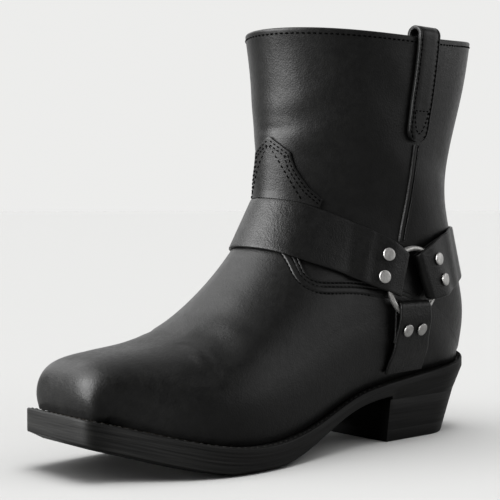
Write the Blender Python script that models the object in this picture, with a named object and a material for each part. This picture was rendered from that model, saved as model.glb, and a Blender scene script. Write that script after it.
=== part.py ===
"""Left harness boot: a square-toed pull-on boot with a ring harness, standing on a floor.

Lengths below are millimetres. A point is (u, v, z): u runs forward from the back of the sole,
v to the wearer's left, which is the outer side, and z up from the floor.
In the world +X is the outer side, -Y the toe and +Z up, in metres.
"""

import math
from collections import namedtuple

import bmesh
import bpy
import numpy as np
from mathutils.bvhtree import BVHTree

# Driving dimensions

MM = 0.001
SOLE_LENGTH = 300.0
COLLAR_BACK_U = -3.0
CENTRE_U = (SOLE_LENGTH + COLLAR_BACK_U) / 2
CENTRE_V = 0.25
GAP = 0.3
SEAT_GAP = 0.6
WALL = 2.4

WELT_THICKNESS = 4.0
WELT_UNDER_WALL = WALL + GAP
INSOLE_ABOVE_WELT = 3.0
INSOLE_INSET = 5.2

HEEL_RIM_Z = 47.0
HEEL_SPLIT_Z = 26.2
HEEL_BREAST_U = 87.0
HEEL_BREAST_SLOPE = 2.0
HEEL_BACK_SLOPE = 19.5
HEEL_SIDE_TAPER = 4.0
TREAD_INSET = 9.0
TREAD_RISE = 1.5

# The sole along the foot: heights of its top and underside, the half widths of the line where
# the upper meets it and the half widths of its own edge.

SoleRow = namedtuple("SoleRow", "u top under line_outer line_inner edge_outer edge_inner")
SOLE = [
    SoleRow(-4.0, 46.6, 27.0, 30.5, 30.5, 35.5, 35.0),
    SoleRow(36.5, 42.6, 27.6, 31.5, 31.5, 36.0, 35.5),
    SoleRow(81.0, 37.6, 27.2, 33.0, 30.5, 37.4, 34.5),
    SoleRow(120.0, 31.0, 21.8, 35.5, 28.0, 39.6, 32.5),
    SoleRow(156.0, 20.0, 9.0, 42.0, 30.0, 47.0, 35.0),
    SoleRow(190.0, 14.4, -0.2, 48.5, 36.5, 54.3, 42.5),
    SoleRow(220.0, 14.9, -0.8, 49.8, 41.0, 56.2, 47.5),
    SoleRow(255.0, 22.0, 6.2, 38.5, 40.0, 45.0, 46.5),
    SoleRow(286.0, 30.6, 15.2, 17.0, 35.8, 25.0, 41.8),
    SoleRow(304.0, 35.2, 20.6, 6.0, 31.5, 15.5, 38.0),
]

# Plan outlines: a rounded heel from back_u to heel_u, the table's half widths, and a squared
# toe from toe_u to front_u about the line v = toe_v.

Outline = namedtuple("Outline", "outer inner back_u heel_u toe_u front_u toe_v square")
UPPER_LINE = Outline(2, 3, 3.5, 36.5, 284.0, 294.6, -9.0, 4.0)
SOLE_EDGE = Outline(4, 5, 0.0, 36.5, 289.0, 300.0, -9.5, 5.0)

# The back of the boot above the sole.

BackRow = namedtuple("BackRow", "z u")
BACK = [
    BackRow(46.0, 3.5),
    BackRow(58.0, 0.4),
    BackRow(72.0, -0.8),
    BackRow(92.0, 3.9),
    BackRow(116.0, 11.8),
    BackRow(140.0, 18.8),
    BackRow(158.0, 19.3),
    BackRow(185.0, 13.2),
    BackRow(218.0, 3.0),
    BackRow(252.0, -3.5),
]

# The upper's sections, from the toe line over the vamp and the heel to the collar.
# top_u, top_z: the section's front end on the ridge, which lies at ridge_v.
# low: the section's lower end, as a distance from the back of the heel, forwards along the
# sole line or, where negative, up the back.
# outer, inner: half widths at the widest point, which lies at a share "widest" of the height.
# crown, under: squareness above and below the widest point, 2 for an ellipse.

Section = namedtuple("Section", "name top_u top_z ridge_v low outer inner widest crown under")
HEEL_EASE = 14.0

SECTIONS = [
    Section("toe_line", 294.6, 33.4, -9.0, 299.3, 19.6, 36.6, 0.05, 3.8, 2.0),
    Section("toe_front", 296.2, 43.5, -9.0, 298.0, 20.8, 37.4, 0.20, 3.8, 2.0),
    Section("toe_edge", 293.8, 54.0, -8.8, 296.2, 22.4, 38.0, 0.30, 3.5, 2.0),
    Section("toe_top", 284.5, 61.6, -8.4, 292.2, 26.2, 38.6, 0.36, 3.2, 2.0),
    Section("toe_box", 265.0, 65.3, -7.6, 280.5, 34.4, 40.4, 0.36, 2.8, 2.0),
    Section("ball_front", 241.0, 69.0, -7.0, 260.0, 46.2, 42.8, 0.34, 2.4, 2.0),
    Section("ball", 216.0, 79.0, -7.0, 232.5, 53.0, 43.2, 0.31, 2.2, 2.0),
    Section("waist", 195.5, 95.5, -6.4, 202.0, 51.5, 40.2, 0.31, 2.05, 2.0),
    Section("instep_low", 180.5, 111.5, -5.0, 164.0, 48.0, 38.2, 0.34, 2.0, 2.1),
    Section("instep", 169.2, 126.0, -3.6, 119.0, 45.0, 38.2, 0.37, 2.0, 2.2),
    Section("instep_top", 162.4, 138.0, -2.4, 75.0, 43.0, 39.0, 0.40, 2.0, 2.35),
    Section("throat_low", 159.4, 147.0, -1.4, 39.0, 41.8, 39.8, 0.42, 2.0, 2.45),
    Section("throat", 158.4, 154.0, -0.8, 13.5, 41.2, 40.2, 0.44, 2.0, 2.5),
    Section("heel_seat", 158.0, 160.5, -0.4, 0.0, 41.2, 40.5, 0.45, 2.0, 2.5),
    Section("heel_low", 157.8, 167.0, -0.2, -12.0, 41.6, 41.0, 0.46, 2.0, 2.5),
    Section("heel_top", 157.6, 175.0, 0.0, -33.0, 42.5, 42.0, 0.47, 2.0, 2.4),
    Section("ankle_low", 157.4, 184.5, 0.0, -60.0, 44.5, 44.0, 0.48, 2.0, 2.25),
    Section("ankle", 157.2, 195.0, 0.0, -87.0, 47.0, 46.5, 0.49, 2.0, 2.15),
    Section("ankle_top", 157.2, 205.0, 0.0, -110.0, 48.6, 48.1, 0.50, 2.0, 2.1),
    Section("shaft_low", 157.8, 217.0, 0.0, -137.5, 50.5, 50.0, 0.50, 2.0, 2.05),
    Section("shaft", 159.3, 231.5, 0.0, -169.5, 53.0, 52.5, 0.50, 2.0, 2.0),
    Section("collar", 162.0, 247.6, 0.0, -204.0, 55.0, 54.5, 0.50, 2.0, 2.0),
]
HEEL_SEAT = [row.name for row in SECTIONS].index("heel_seat")
COLLAR = len(SECTIONS) - 1
COLLAR_DIP = 0.17
ARC_SAMPLES = 96

# The vamp's upper edge on the outer half of the upper: the station it crosses at each turn and
# the height of its step there. It passes under the instep strap and dies out at the stirrup.

VampRow = namedtuple("VampRow", "turn station step")
VAMP_EDGE = [
    VampRow(0.50, 9.75, 0.3),
    VampRow(0.54, 9.72, 0.4),
    VampRow(0.58, 9.52, 0.8),
    VampRow(0.62, 9.25, 1.2),
    VampRow(0.645, 9.08, 1.2),
    VampRow(0.67, 8.94, 1.2),
    VampRow(0.685, 8.97, 1.2),
    VampRow(0.70, 9.17, 1.2),
    VampRow(0.7125, 9.50, 1.2),
    VampRow(0.73, 10.02, 1.2),
    VampRow(0.75, 10.52, 1.1),
    VampRow(0.78, 11.20, 0.7),
    VampRow(0.82, 12.00, 0.0),
    VampRow(0.88, 12.60, 0.0),
    VampRow(0.94, 12.90, 0.0),
    VampRow(1.00, 13.00, 0.0),
]

# The tongue patch above the instep strap: half width, as an angle about the leg, by height.

LEG_U = 86.0
PatchRow = namedtuple("PatchRow", "z half_angle")
TONGUE_PATCH = [
    PatchRow(143.0, 22.8),
    PatchRow(148.4, 24.4),
    PatchRow(150.2, 22.0),
    PatchRow(153.7, 17.9),
    PatchRow(159.2, 14.7),
    PatchRow(165.3, 12.0),
    PatchRow(170.7, 10.9),
    PatchRow(174.6, 10.4),
    PatchRow(185.0, 0.2),
]
PATCH_TURN = 3.3
PATCH_THICKNESS = 1.6
PATCH_COLUMNS = 8
PATCH_CLEAR = 1.0

# The harness. A strap is a band between two edges on the upper, each given by an angle about
# the leg, 0 at the front and 90 on the outer side, and a height, along a distance from the
# centre of its ring. A strap held by two rings lists its outer half; the inner half mirrors it.

STRAP_THICKNESS = 1.8
STRAP_GAP = 0.8
STRAP_STEP = 4.5
RING_U, RING_Z = 80.0, 98.2
RING_RADIUS, WIRE_RADIUS = 20.3, 1.6
RING_PLANE = {1: 42.6, -1: 41.6}
WIRE_PLAY = 0.2
RING_STEPS, WIRE_CORNERS = 30, 7
FLAP_END, FLAP_INSET = 36.0, 1.3
LEAF_OVER_WIRE, LEAF_ON_FLAP, LEAF_PAST_FLAP, LEAF_DOWN = 20.0, 36.0, 37.5, 51.0
PLANE_END, UPPER_START = 22.0, 37.0

StrapRow = namedtuple("StrapRow", "along top_angle top_z low_angle low_z")
INSTEP_FOLD = 8.8
INSTEP_STRAP = [
    StrapRow(-2.2, 104.0, 109.0, 96.8, 85.0),
    StrapRow(9.4, 91.0, 114.9, 81.9, 89.4),
    StrapRow(24.8, 72.8, 123.3, 63.2, 94.5),
    StrapRow(40.8, 54.4, 130.6, 48.6, 100.0),
    StrapRow(55.8, 40.6, 136.0, 37.7, 105.6),
    StrapRow(68.8, 29.5, 140.6, 28.0, 110.0),
    StrapRow(83.8, 17.4, 145.2, 17.6, 115.2),
    StrapRow(93.8, 9.7, 147.0, 9.7, 118.2),
    StrapRow(105.8, 0.0, 147.9, 0.0, 119.3),
]
HEEL_FOLD = 7.6
HEEL_STRAP = [
    StrapRow(1.6, 92.7, 112.0, 107.7, 86.0),
    StrapRow(7.6, 100.1, 114.5, 114.9, 86.8),
    StrapRow(21.0, 113.2, 120.4, 129.9, 88.8),
    StrapRow(33.6, 126.5, 126.0, 138.8, 92.2),
    StrapRow(48.6, 140.4, 129.6, 149.1, 96.0),
    StrapRow(71.6, 160.0, 130.6, 164.5, 100.2),
    StrapRow(95.6, 180.0, 130.8, 180.0, 102.0),
]
STIRRUP_FOLD = 11.2
STIRRUP = [
    StrapRow(0.0, 79.8, 98.2, 113.8, 98.2),
    StrapRow(12.0, 79.8, 86.2, 113.8, 86.2),
    StrapRow(28.0, 79.2, 70.2, 116.6, 70.2),
    StrapRow(45.0, 76.4, 53.2, 122.6, 53.5),
    StrapRow(56.2, 74.0, 42.0, 126.5, 42.6),
]

RIVET_RADIUS, RIVET_LIFT = 3.9, 0.45
RIVET_PROFILE = [(1.0, 0.0), (1.0, 0.6), (0.72, 1.3)]
RIVET_CORNERS = 12
RivetRow = namedtuple("RivetRow", "strap along across")
RIVETS = [
    RivetRow("instep", 26.6, 0.31),
    RivetRow("instep", 26.6, 0.76),
    RivetRow("heel", 23.2, 0.30),
    RivetRow("heel", 23.2, 0.70),
    RivetRow("stirrup", 28.6, 0.27),
    RivetRow("stirrup", 28.6, 0.70),
]

# The pull loops: the outer leg from its tip to the collar, as centre angle and half width, then
# the middle of the leather over the collar and down inside, as height and distance from the
# upper's outer face.

LoopRow = namedtuple("LoopRow", "z angle half_width")
PULL_LOOP = [
    LoopRow(182.5, 95.2, 3.2),
    LoopRow(183.2, 95.3, 5.4),
    LoopRow(185.0, 95.4, 7.2),
    LoopRow(188.5, 95.7, 8.3),
    LoopRow(196.0, 96.3, 8.9),
    LoopRow(207.0, 97.2, 9.1),
    LoopRow(220.0, 98.2, 9.0),
    LoopRow(238.0, 99.2, 9.0),
]
LOOP_THICKNESS = 2.4
LOOP_TOP_Z = 250.0
LOOP_ARCH = 8.6
LOOP_STRAIGHT_Z = (182.5, 183.2, 185.0, 188.5, 192.0, 196.0, 206.0, 220.0, 232.0)
LoopInside = namedtuple("LoopInside", "z away")
LOOP_INSIDE = [
    LoopInside(240.0, -6.6),
    LoopInside(232.0, -4.9),
    LoopInside(224.0, -4.15),
    LoopInside(206.0, -4.15),
]

# The raised side seams below the loops, and the profile across them.

SeamRow = namedtuple("SeamRow", "z angle")
SIDE_SEAM = [
    SeamRow(180.8, 97.4),
    SeamRow(160.0, 95.5),
    SeamRow(145.0, 94.6),
    SeamRow(123.0, 91.6),
]
SEAM_STEPS = 9
SeamPoint = namedtuple("SeamPoint", "across height")
SEAM_PROFILE = [
    SeamPoint(-3.3, 0.0),
    SeamPoint(-2.6, 1.1),
    SeamPoint(-1.2, 1.1),
    SeamPoint(-0.5, 0.3),
    SeamPoint(0.5, 0.3),
    SeamPoint(1.2, 1.1),
    SeamPoint(2.6, 1.1),
    SeamPoint(3.3, 0.0),
]


# Curves and tables

def spline(knots, values, at):
    """Natural cubic spline through the rows of values at the given places."""
    x = np.asarray(knots, float)
    y = np.asarray(values, float).reshape(len(x), -1)
    step = np.diff(x)
    slope = np.diff(y, axis=0) / step[:, None]
    bend = np.zeros_like(y)
    inner = np.diag(2 * (step[:-1] + step[1:]))
    inner += np.diag(step[1:-1], 1) + np.diag(step[1:-1], -1)
    bend[1:-1] = np.linalg.solve(inner, 6 * np.diff(slope, axis=0))
    at = np.atleast_1d(np.asarray(at, float))
    k = np.clip(np.searchsorted(x, at) - 1, 0, len(x) - 2)
    h, left, right = step[k][:, None], (x[k + 1] - at)[:, None], (at - x[k])[:, None]
    return (
        bend[k] * left**3 / (6 * h)
        + bend[k + 1] * right**3 / (6 * h)
        + (y[k] / h - bend[k] * h / 6) * left
        + (y[k + 1] / h - bend[k + 1] * h / 6) * right
    )


def sole_at(u):
    """The sole table's rows at u, without u itself, with the flat tread on the floor."""
    rows = spline([row.u for row in SOLE], [row[1:] for row in SOLE], u)
    rows[:, 1] = np.maximum(rows[:, 1], 0.0)
    return rows


def heel_point(outline, run):
    """Outer and inner (u, v) of an outline at a run from the back of the heel."""
    depth = outline.heel_u - outline.back_u
    angle = np.clip(np.asarray(run, float) / depth, 0, math.pi / 2)
    u = outline.back_u + depth * (1 - np.cos(angle))
    u = u + np.maximum(run - depth * math.pi / 2, 0)
    rows = sole_at(u)
    outer, inner = rows[:, outline.outer] * np.sin(angle), rows[:, outline.inner] * np.sin(angle)
    return np.column_stack([u, outer]), np.column_stack([u, -inner])


# The upper as a function of station (row of SECTIONS) and turn (0 inner edge, 0.5 ridge, 1 outer)

def half_section(low_v, wide_v, ridge_v, widest, crown, under):
    """(v, share of height) along one side of a section, from its lower end to the ridge."""
    start = 1 - math.sqrt(1 - min(abs(low_v / wide_v), 1.0) ** under)
    share = start + (1 - start) * (1 - np.cos(np.linspace(0, math.pi / 2, ARC_SAMPLES)))
    low = np.column_stack([
        wide_v * (1 - (1 - share) ** 2) ** (1 / under),
        widest * (share - start) / (1 - start),
    ])
    angle = np.linspace(0, math.pi / 2, ARC_SAMPLES)[1:]
    high = np.column_stack([
        ridge_v + (wide_v - ridge_v) * np.clip(np.cos(angle), 0, 1) ** (2 / crown),
        widest + (1 - widest) * np.sin(angle) ** (2 / crown),
    ])
    return np.concatenate([low, high])


def eased(distance):
    """A stretched distance from the heel, in which the lower ends slow down as they pass it."""
    size = abs(distance)
    return math.copysign((size + math.sqrt(size**2 + 4 * HEEL_EASE * size)) / 2, distance)


def lower_end(walk):
    """A section's lower end at an eased distance: (u, z) and the half widths there."""
    distance = walk**2 / (abs(walk) + HEEL_EASE)
    if walk >= 0:
        outer, inner = heel_point(UPPER_LINE, np.array([distance]))
        u, outer_v, inner_v = outer[0, 0], outer[0, 1], inner[0, 1]
        return u, sole_at(u)[0, 0] + SEAT_GAP, outer_v, inner_v
    seat_z = sole_at(UPPER_LINE.back_u)[0, 0] + SEAT_GAP
    z = seat_z + distance
    u = spline([row.z for row in BACK], [row.u for row in BACK], z)[0, 0]
    return u, z, 0.0, 0.0


def section_points(station, turns):
    """Points of the upper's outer face at one station."""
    rows = [row._replace(low=eased(row.low))[1:] for row in SECTIONS]
    values = spline(range(len(SECTIONS)), rows, station)[0]
    top_u, top_z, ridge_v, walk, outer, inner, widest, crown, under = values
    low_u, low_z, outer_low, inner_low = lower_end(walk)
    low, rise = np.array([low_u, low_z]), np.array([top_u - low_u, top_z - low_z])
    points = np.empty((len(turns), 3))
    for pick, share, low_v, wide_v in (
        (turns >= 0.5, 2 * (1 - turns), outer_low, outer),
        (turns < 0.5, 2 * turns, inner_low, -inner),
    ):
        arc = half_section(low_v, wide_v, ridge_v, widest, crown, under)
        curve = np.column_stack([low + arc[:, 1:] * rise, arc[:, 0]])[:, [0, 2, 1]]
        length = np.concatenate([[0], np.cumsum(np.linalg.norm(np.diff(curve, axis=0), axis=1))])
        for axis in range(3):
            points[pick, axis] = np.interp(share[pick] * length[-1], length, curve[:, axis])
    return points


class UpperFace:
    """The upper's outer face, worked out once on a fine grid and read between its points."""

    def __init__(self, per_section=16, turns=240):
        self.per_section, self.turns = per_section, turns
        stations = np.linspace(0, COLLAR, COLLAR * per_section + 1)
        self.grid = np.array([section_points(s, np.linspace(0, 1, turns + 1)) for s in stations])

    def at(self, station, turn):
        """Points at matching arrays of stations and turns."""
        station, turn = np.broadcast_arrays(np.asarray(station, float), np.asarray(turn, float))
        x, y = station * self.per_section, turn * self.turns
        i = np.clip(x.astype(int), 0, self.grid.shape[0] - 2)
        j = np.clip(y.astype(int), 0, self.grid.shape[1] - 2)
        p, q = (x - i)[..., None], (y - j)[..., None]
        near = self.grid[i, j] * (1 - q) + self.grid[i, j + 1] * q
        far = self.grid[i + 1, j] * (1 - q) + self.grid[i + 1, j + 1] * q
        return near * (1 - p) + far * p


# Meshes

def world(points):
    """(u, v, z) in millimetres as world points in metres."""
    points = np.asarray(points, float).reshape(-1, 3)
    return np.column_stack([points[:, 1] - CENTRE_V, CENTRE_U - points[:, 0], points[:, 2]]) * MM


def add_object(name, points, faces, material):
    mesh = bpy.data.meshes.new(name)
    mesh.from_pydata(world(points).tolist(), [], faces)
    shape = bmesh.new()
    shape.from_mesh(mesh)
    bmesh.ops.remove_doubles(shape, verts=shape.verts, dist=0.01 * MM)
    bmesh.ops.dissolve_degenerate(shape, edges=shape.edges, dist=0.005 * MM)
    bmesh.ops.recalc_face_normals(shape, faces=shape.faces)
    shape.to_mesh(mesh)
    shape.free()
    mesh.materials.append(material)
    mesh.shade_smooth()
    mesh.set_sharp_from_angle(angle=math.radians(40))
    obj = bpy.data.objects.new(name, mesh)
    bpy.context.scene.collection.objects.link(obj)
    return obj


def loft(name, sections, material, wrap=False):
    """A solid through closed sections of equal point count, with its ends capped or joined."""
    sections = np.asarray(sections, float)
    count, corners = sections.shape[:2]
    faces = []
    for i in range(count if wrap else count - 1):
        a, b = i * corners, (i + 1) % count * corners
        for j in range(corners):
            k = (j + 1) % corners
            faces.append((a + j, a + k, b + k, b + j))
    if not wrap:
        faces.append(tuple(range(corners)))
        faces.append(tuple((count - 1) * corners + j for j in range(corners)))
    return add_object(name, sections, faces, material)


def make_material(name, colour, roughness, metallic=0.0):
    material = bpy.data.materials.new(name)
    material.use_nodes = True
    shader = material.node_tree.nodes["Principled BSDF"]
    shader.inputs["Base Color"].default_value = (*colour, 1.0)
    shader.inputs["Roughness"].default_value = roughness
    shader.inputs["Metallic"].default_value = metallic
    return material


# Outlines of the sole, as pairs of outer and inner points from the heel's back to the toe

HEEL_STEPS = 8
SIDE_STEPS = 18
TOE_STEPS = 10


def outline_pairs(outline, inset=0.0):
    """Outer and inner (u, v) of an outline, moved inwards by an inset."""
    depth = outline.heel_u - outline.back_u
    arc = depth * math.pi / 2
    runs = np.concatenate([
        np.linspace(0, arc, HEEL_STEPS + 1)[:-1],
        np.linspace(arc, arc + outline.toe_u - outline.heel_u, SIDE_STEPS + 1),
    ])
    sides = heel_point(outline, runs)
    angle = np.linspace(0, math.pi / 2, TOE_STEPS + 1)[1:]
    forward = (outline.front_u - outline.toe_u) * np.sin(angle) ** (2 / outline.square)
    across = np.clip(np.cos(angle), 0, 1) ** (2 / outline.square)
    outer, inner = (
        np.concatenate([side, np.column_stack([
            outline.toe_u + forward,
            outline.toe_v + (side[-1, 1] - outline.toe_v) * across,
        ])])
        for side in sides
    )
    loop = np.concatenate([outer, inner[-2:0:-1]])
    along = np.roll(loop, -1, axis=0) - np.roll(loop, 1, axis=0)
    inward = np.column_stack([along[:, 1], -along[:, 0]])
    inward /= np.linalg.norm(inward, axis=1)[:, None]
    middle = loop.mean(axis=0)
    inward *= np.sign(np.sum(inward * (middle - loop)))
    loop = loop + inward * inset
    count = len(outer)
    return loop[:count], np.concatenate([loop[:1], loop[:count - 1:-1], loop[count - 1:count]])


def outline_loop(outline, inset=0.0):
    outer, inner = outline_pairs(outline, inset)
    return np.concatenate([outer, inner[-2:0:-1]])


def heel_cup(u):
    """How far the rim of the heel seat turns up at its outer edge."""
    return 3.2 * np.clip((45.0 - u) / 45.0, 0, 1) ** 1.5


# Sole pieces

def make_outsole(material):
    """The tread and, behind its breast, the wedge that the heel block carries."""
    top_pairs, tread_pairs = outline_pairs(SOLE_EDGE), outline_pairs(SOLE_EDGE, TREAD_INSET)
    sections = []
    for i in range(len(top_pairs[0])):
        half = []
        for top, tread in zip(top_pairs, tread_pairs):
            top_z = sole_at(top[i, 0])[0, 0] - WELT_THICKNESS - GAP
            if top[i, 0] < HEEL_BREAST_U:
                side = heel_point_at(top[i], HEEL_SPLIT_Z / HEEL_RIM_Z)
                low = side + (tread[i] - top[i]) * 0.5
                half.append([(*low, HEEL_SPLIT_Z), (*side, HEEL_SPLIT_Z), (*top[i], top_z)])
            else:
                low_z, side_z = sole_at([tread[i, 0], top[i, 0]])[:, 1]
                half.append([(*tread[i], low_z), (*top[i], side_z + TREAD_RISE), (*top[i], top_z)])
        sections.append(half[0] + half[1][::-1])
    return loft("outsole", sections, material)


def make_welt(material):
    edge, lip = outline_loop(SOLE_EDGE), outline_loop(SOLE_EDGE, 1.0)
    seat, inside = outline_loop(UPPER_LINE, -0.6), outline_loop(UPPER_LINE, WELT_UNDER_WALL)
    sections = []
    for edge_at, lip_at, seat_at, inside_at in zip(edge, lip, seat, inside):
        top_edge, top_seat, top_in = sole_at([edge_at[0], seat_at[0], inside_at[0]])[:, 0]
        rise = float(heel_cup(edge_at[0]))
        sections.append([
            (*inside_at, top_in - WELT_THICKNESS),
            (*edge_at, top_edge - WELT_THICKNESS),
            (*edge_at, top_edge + rise - 1.0),
            (*lip_at, top_edge + rise),
            (*seat_at, top_seat),
            (*inside_at, top_in),
        ])
    return loft("welt", sections, material, wrap=True)


def make_insole(material):
    sections = []
    for a, b in zip(*outline_pairs(UPPER_LINE, INSOLE_INSET)):
        top = sole_at([a[0], b[0]])[:, 0]
        low, high = top - WELT_THICKNESS, top + INSOLE_ABOVE_WELT
        sections.append([(*a, low[0]), (*a, high[0]), (*b, high[1]), (*b, low[1])])
    return loft("insole", sections, material)


def heel_point_at(point, share):
    """A point of the sole's edge moved to a share of the heel's height, 0 being the floor."""
    back, breast = HEEL_BACK_SLOPE * (1 - share), HEEL_BREAST_U + HEEL_BREAST_SLOPE * (1 - share)
    u = back + point[0] * (breast - back) / HEEL_BREAST_U
    return np.array([u, point[1] * (1 - HEEL_SIDE_TAPER * (1 - share) / SOLE[1].edge_outer)])


def make_heel_block(material):
    sections = []
    pairs = [side[:-TOE_STEPS] for side in outline_pairs(SOLE_EDGE)]
    stations = [u for u in pairs[0][:, 0] if u < HEEL_BREAST_U - 2] + [HEEL_BREAST_U]
    top_z = HEEL_SPLIT_Z - GAP
    for u in stations:
        section = []
        for side in pairs:
            point = (u, np.interp(u, side[:, 0], side[:, 1]))
            low = heel_point_at(point, 0.0)
            high = heel_point_at(point, top_z / HEEL_RIM_Z)
            section.append([(*low, 0.0), (*high, top_z)])
        sections.append(section[0] + section[1][::-1])
    return loft("heel_block", sections, material)


# Upper

TURN_STEPS, FOOT_STEPS, SHAFT_STEPS = 36, 22, 13
TOE_CROWDING = 1.25
ROW_STATIONS = 11.3
EDGE_PULL = 3
STEP_FADE = 0.35


def vamp_edge(turn):
    """Station and step of the vamp's edge at a turn, the inner half mirroring the outer."""
    turn = 0.5 + np.abs(np.asarray(turn, float) - 0.5)
    turns = [row.turn for row in VAMP_EDGE]
    return tuple(np.interp(turn, turns, column) for column in list(zip(*VAMP_EDGE))[1:])


def collar_station(station, turn):
    """Stations lowered towards the sides of the collar, whose edge dips there."""
    share = np.clip((station - HEEL_SEAT) / (COLLAR - HEEL_SEAT), 0, 1)
    return station - COLLAR_DIP * share**3 * np.sin(2 * math.pi * turn) ** 2


def surface_mesh(grid):
    """A mesh of a grid of points, and its vertices in the grid's order."""
    rows, columns = grid.shape[:2]
    shape = bmesh.new()
    verts = [shape.verts.new(point) for point in grid.reshape(-1, 3)]
    for i in range(rows - 1):
        for j in range(columns - 1):
            a = i * columns + j
            shape.faces.new([verts[k] for k in (a, a + 1, a + columns + 1, a + columns)])
    shape.normal_update()
    return shape, verts


def point_normals(grid):
    """Outward normals of a grid of points on the upper, joined where its two edges meet."""
    shape, verts = surface_mesh(grid)
    normals = np.array([v.normal for v in verts]).reshape(grid.shape)
    shape.free()
    closed = np.linalg.norm(grid[:, 0] - grid[:, -1], axis=1) < 0.01
    normals[closed, 0] = normals[closed, -1] = normals[closed, 0] + normals[closed, -1]
    normals /= np.linalg.norm(normals, axis=2)[:, :, None]
    middle = grid[-1].mean(axis=0)
    return normals * np.sign(np.sum(normals[-1] * (grid[-1] - middle)))


def upper_rows(face, turn_steps, foot_steps, shaft_steps):
    """Grids of the upper: the base face with its normals, and the outer face with its step.

    Rows run from the toe line to the collar and bend to follow the vamp's edge, where the outer
    face has one row more, so that the step is a wall of its own.
    """
    turns = np.linspace(0, 1, turn_steps + 1)
    edge, step = vamp_edge(turns)
    share = np.linspace(0, 1, foot_steps + 1)[:, None] ** TOE_CROWDING
    foot = ROW_STATIONS * share + (edge - ROW_STATIONS) * share**EDGE_PULL
    shaft = edge + (COLLAR - edge) * np.linspace(0, 1, shaft_steps + 1)[1:, None]
    stations = np.concatenate([foot, shaft])
    base = face.at(collar_station(stations, turns), np.broadcast_to(turns, stations.shape))
    normals = point_normals(base)
    raised = step * np.clip((share - STEP_FADE) / (1 - STEP_FADE), 0, 1) ** 0.5
    count = len(share)
    outer = np.concatenate([base[:count] + normals[:count] * raised[:, :, None], base[count - 1:]])
    return base, normals, outer


def make_upper(face, material):
    """The hollow upper: its outer face, stepped at the vamp's edge, and its inner face."""
    base, normals, outer = upper_rows(face, TURN_STEPS, FOOT_STEPS, SHAFT_STEPS)
    inner = base - normals * WALL
    count = FOOT_STEPS + 1
    rows, columns = outer.shape[:2]
    faces = []
    for first, face_rows in ((0, rows), (rows * columns, rows - 1)):
        for i in range(face_rows - 1):
            for j in range(columns - 1):
                a = first + i * columns + j
                faces.append((a, a + 1, a + columns + 1, a + columns))
    shift = rows * columns
    top, inner_top = (rows - 1) * columns, shift + (rows - 2) * columns
    for j in range(columns - 1):
        faces.append((j, j + 1, shift + j + 1, shift + j))
        faces.append((top + j, top + j + 1, inner_top + j + 1, inner_top + j))
    for i in range(count - 1):
        for j in (0, columns - 1):
            a, b = i * columns + j, (i + 1) * columns + j
            faces.append((a, b, shift + b, shift + a))
    points = np.concatenate([outer.reshape(-1, 3), inner.reshape(-1, 3)])
    return add_object("upper", points, faces, material)


# Places on the upper, found by casting towards the leg's axis

def make_skin(face, stepped=True):
    """The upper's outer face, with or without its step, as a tree to cast against."""
    shape, _ = surface_mesh(upper_rows(face, 120, 90, 70)[2 if stepped else 0])
    skin = BVHTree.FromBMesh(shape)
    shape.free()
    return skin


def on_upper(skin, angle, z):
    """Point and outward normal of the upper at an angle about the leg and a height."""
    turn = math.radians(angle)
    away = np.array([math.cos(turn), math.sin(turn), 0.0])
    start = np.array([LEG_U, 0.0, z]) + 250.0 * away
    place, normal, _, _ = skin.ray_cast(start.tolist(), (-away).tolist())
    normal = np.array(normal)
    return np.array(place), normal * np.sign(normal @ away)


def unit(vector):
    return vector / np.linalg.norm(vector)


def ease(x):
    x = np.clip(x, 0, 1)
    return x * x * (3 - 2 * x)


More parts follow.
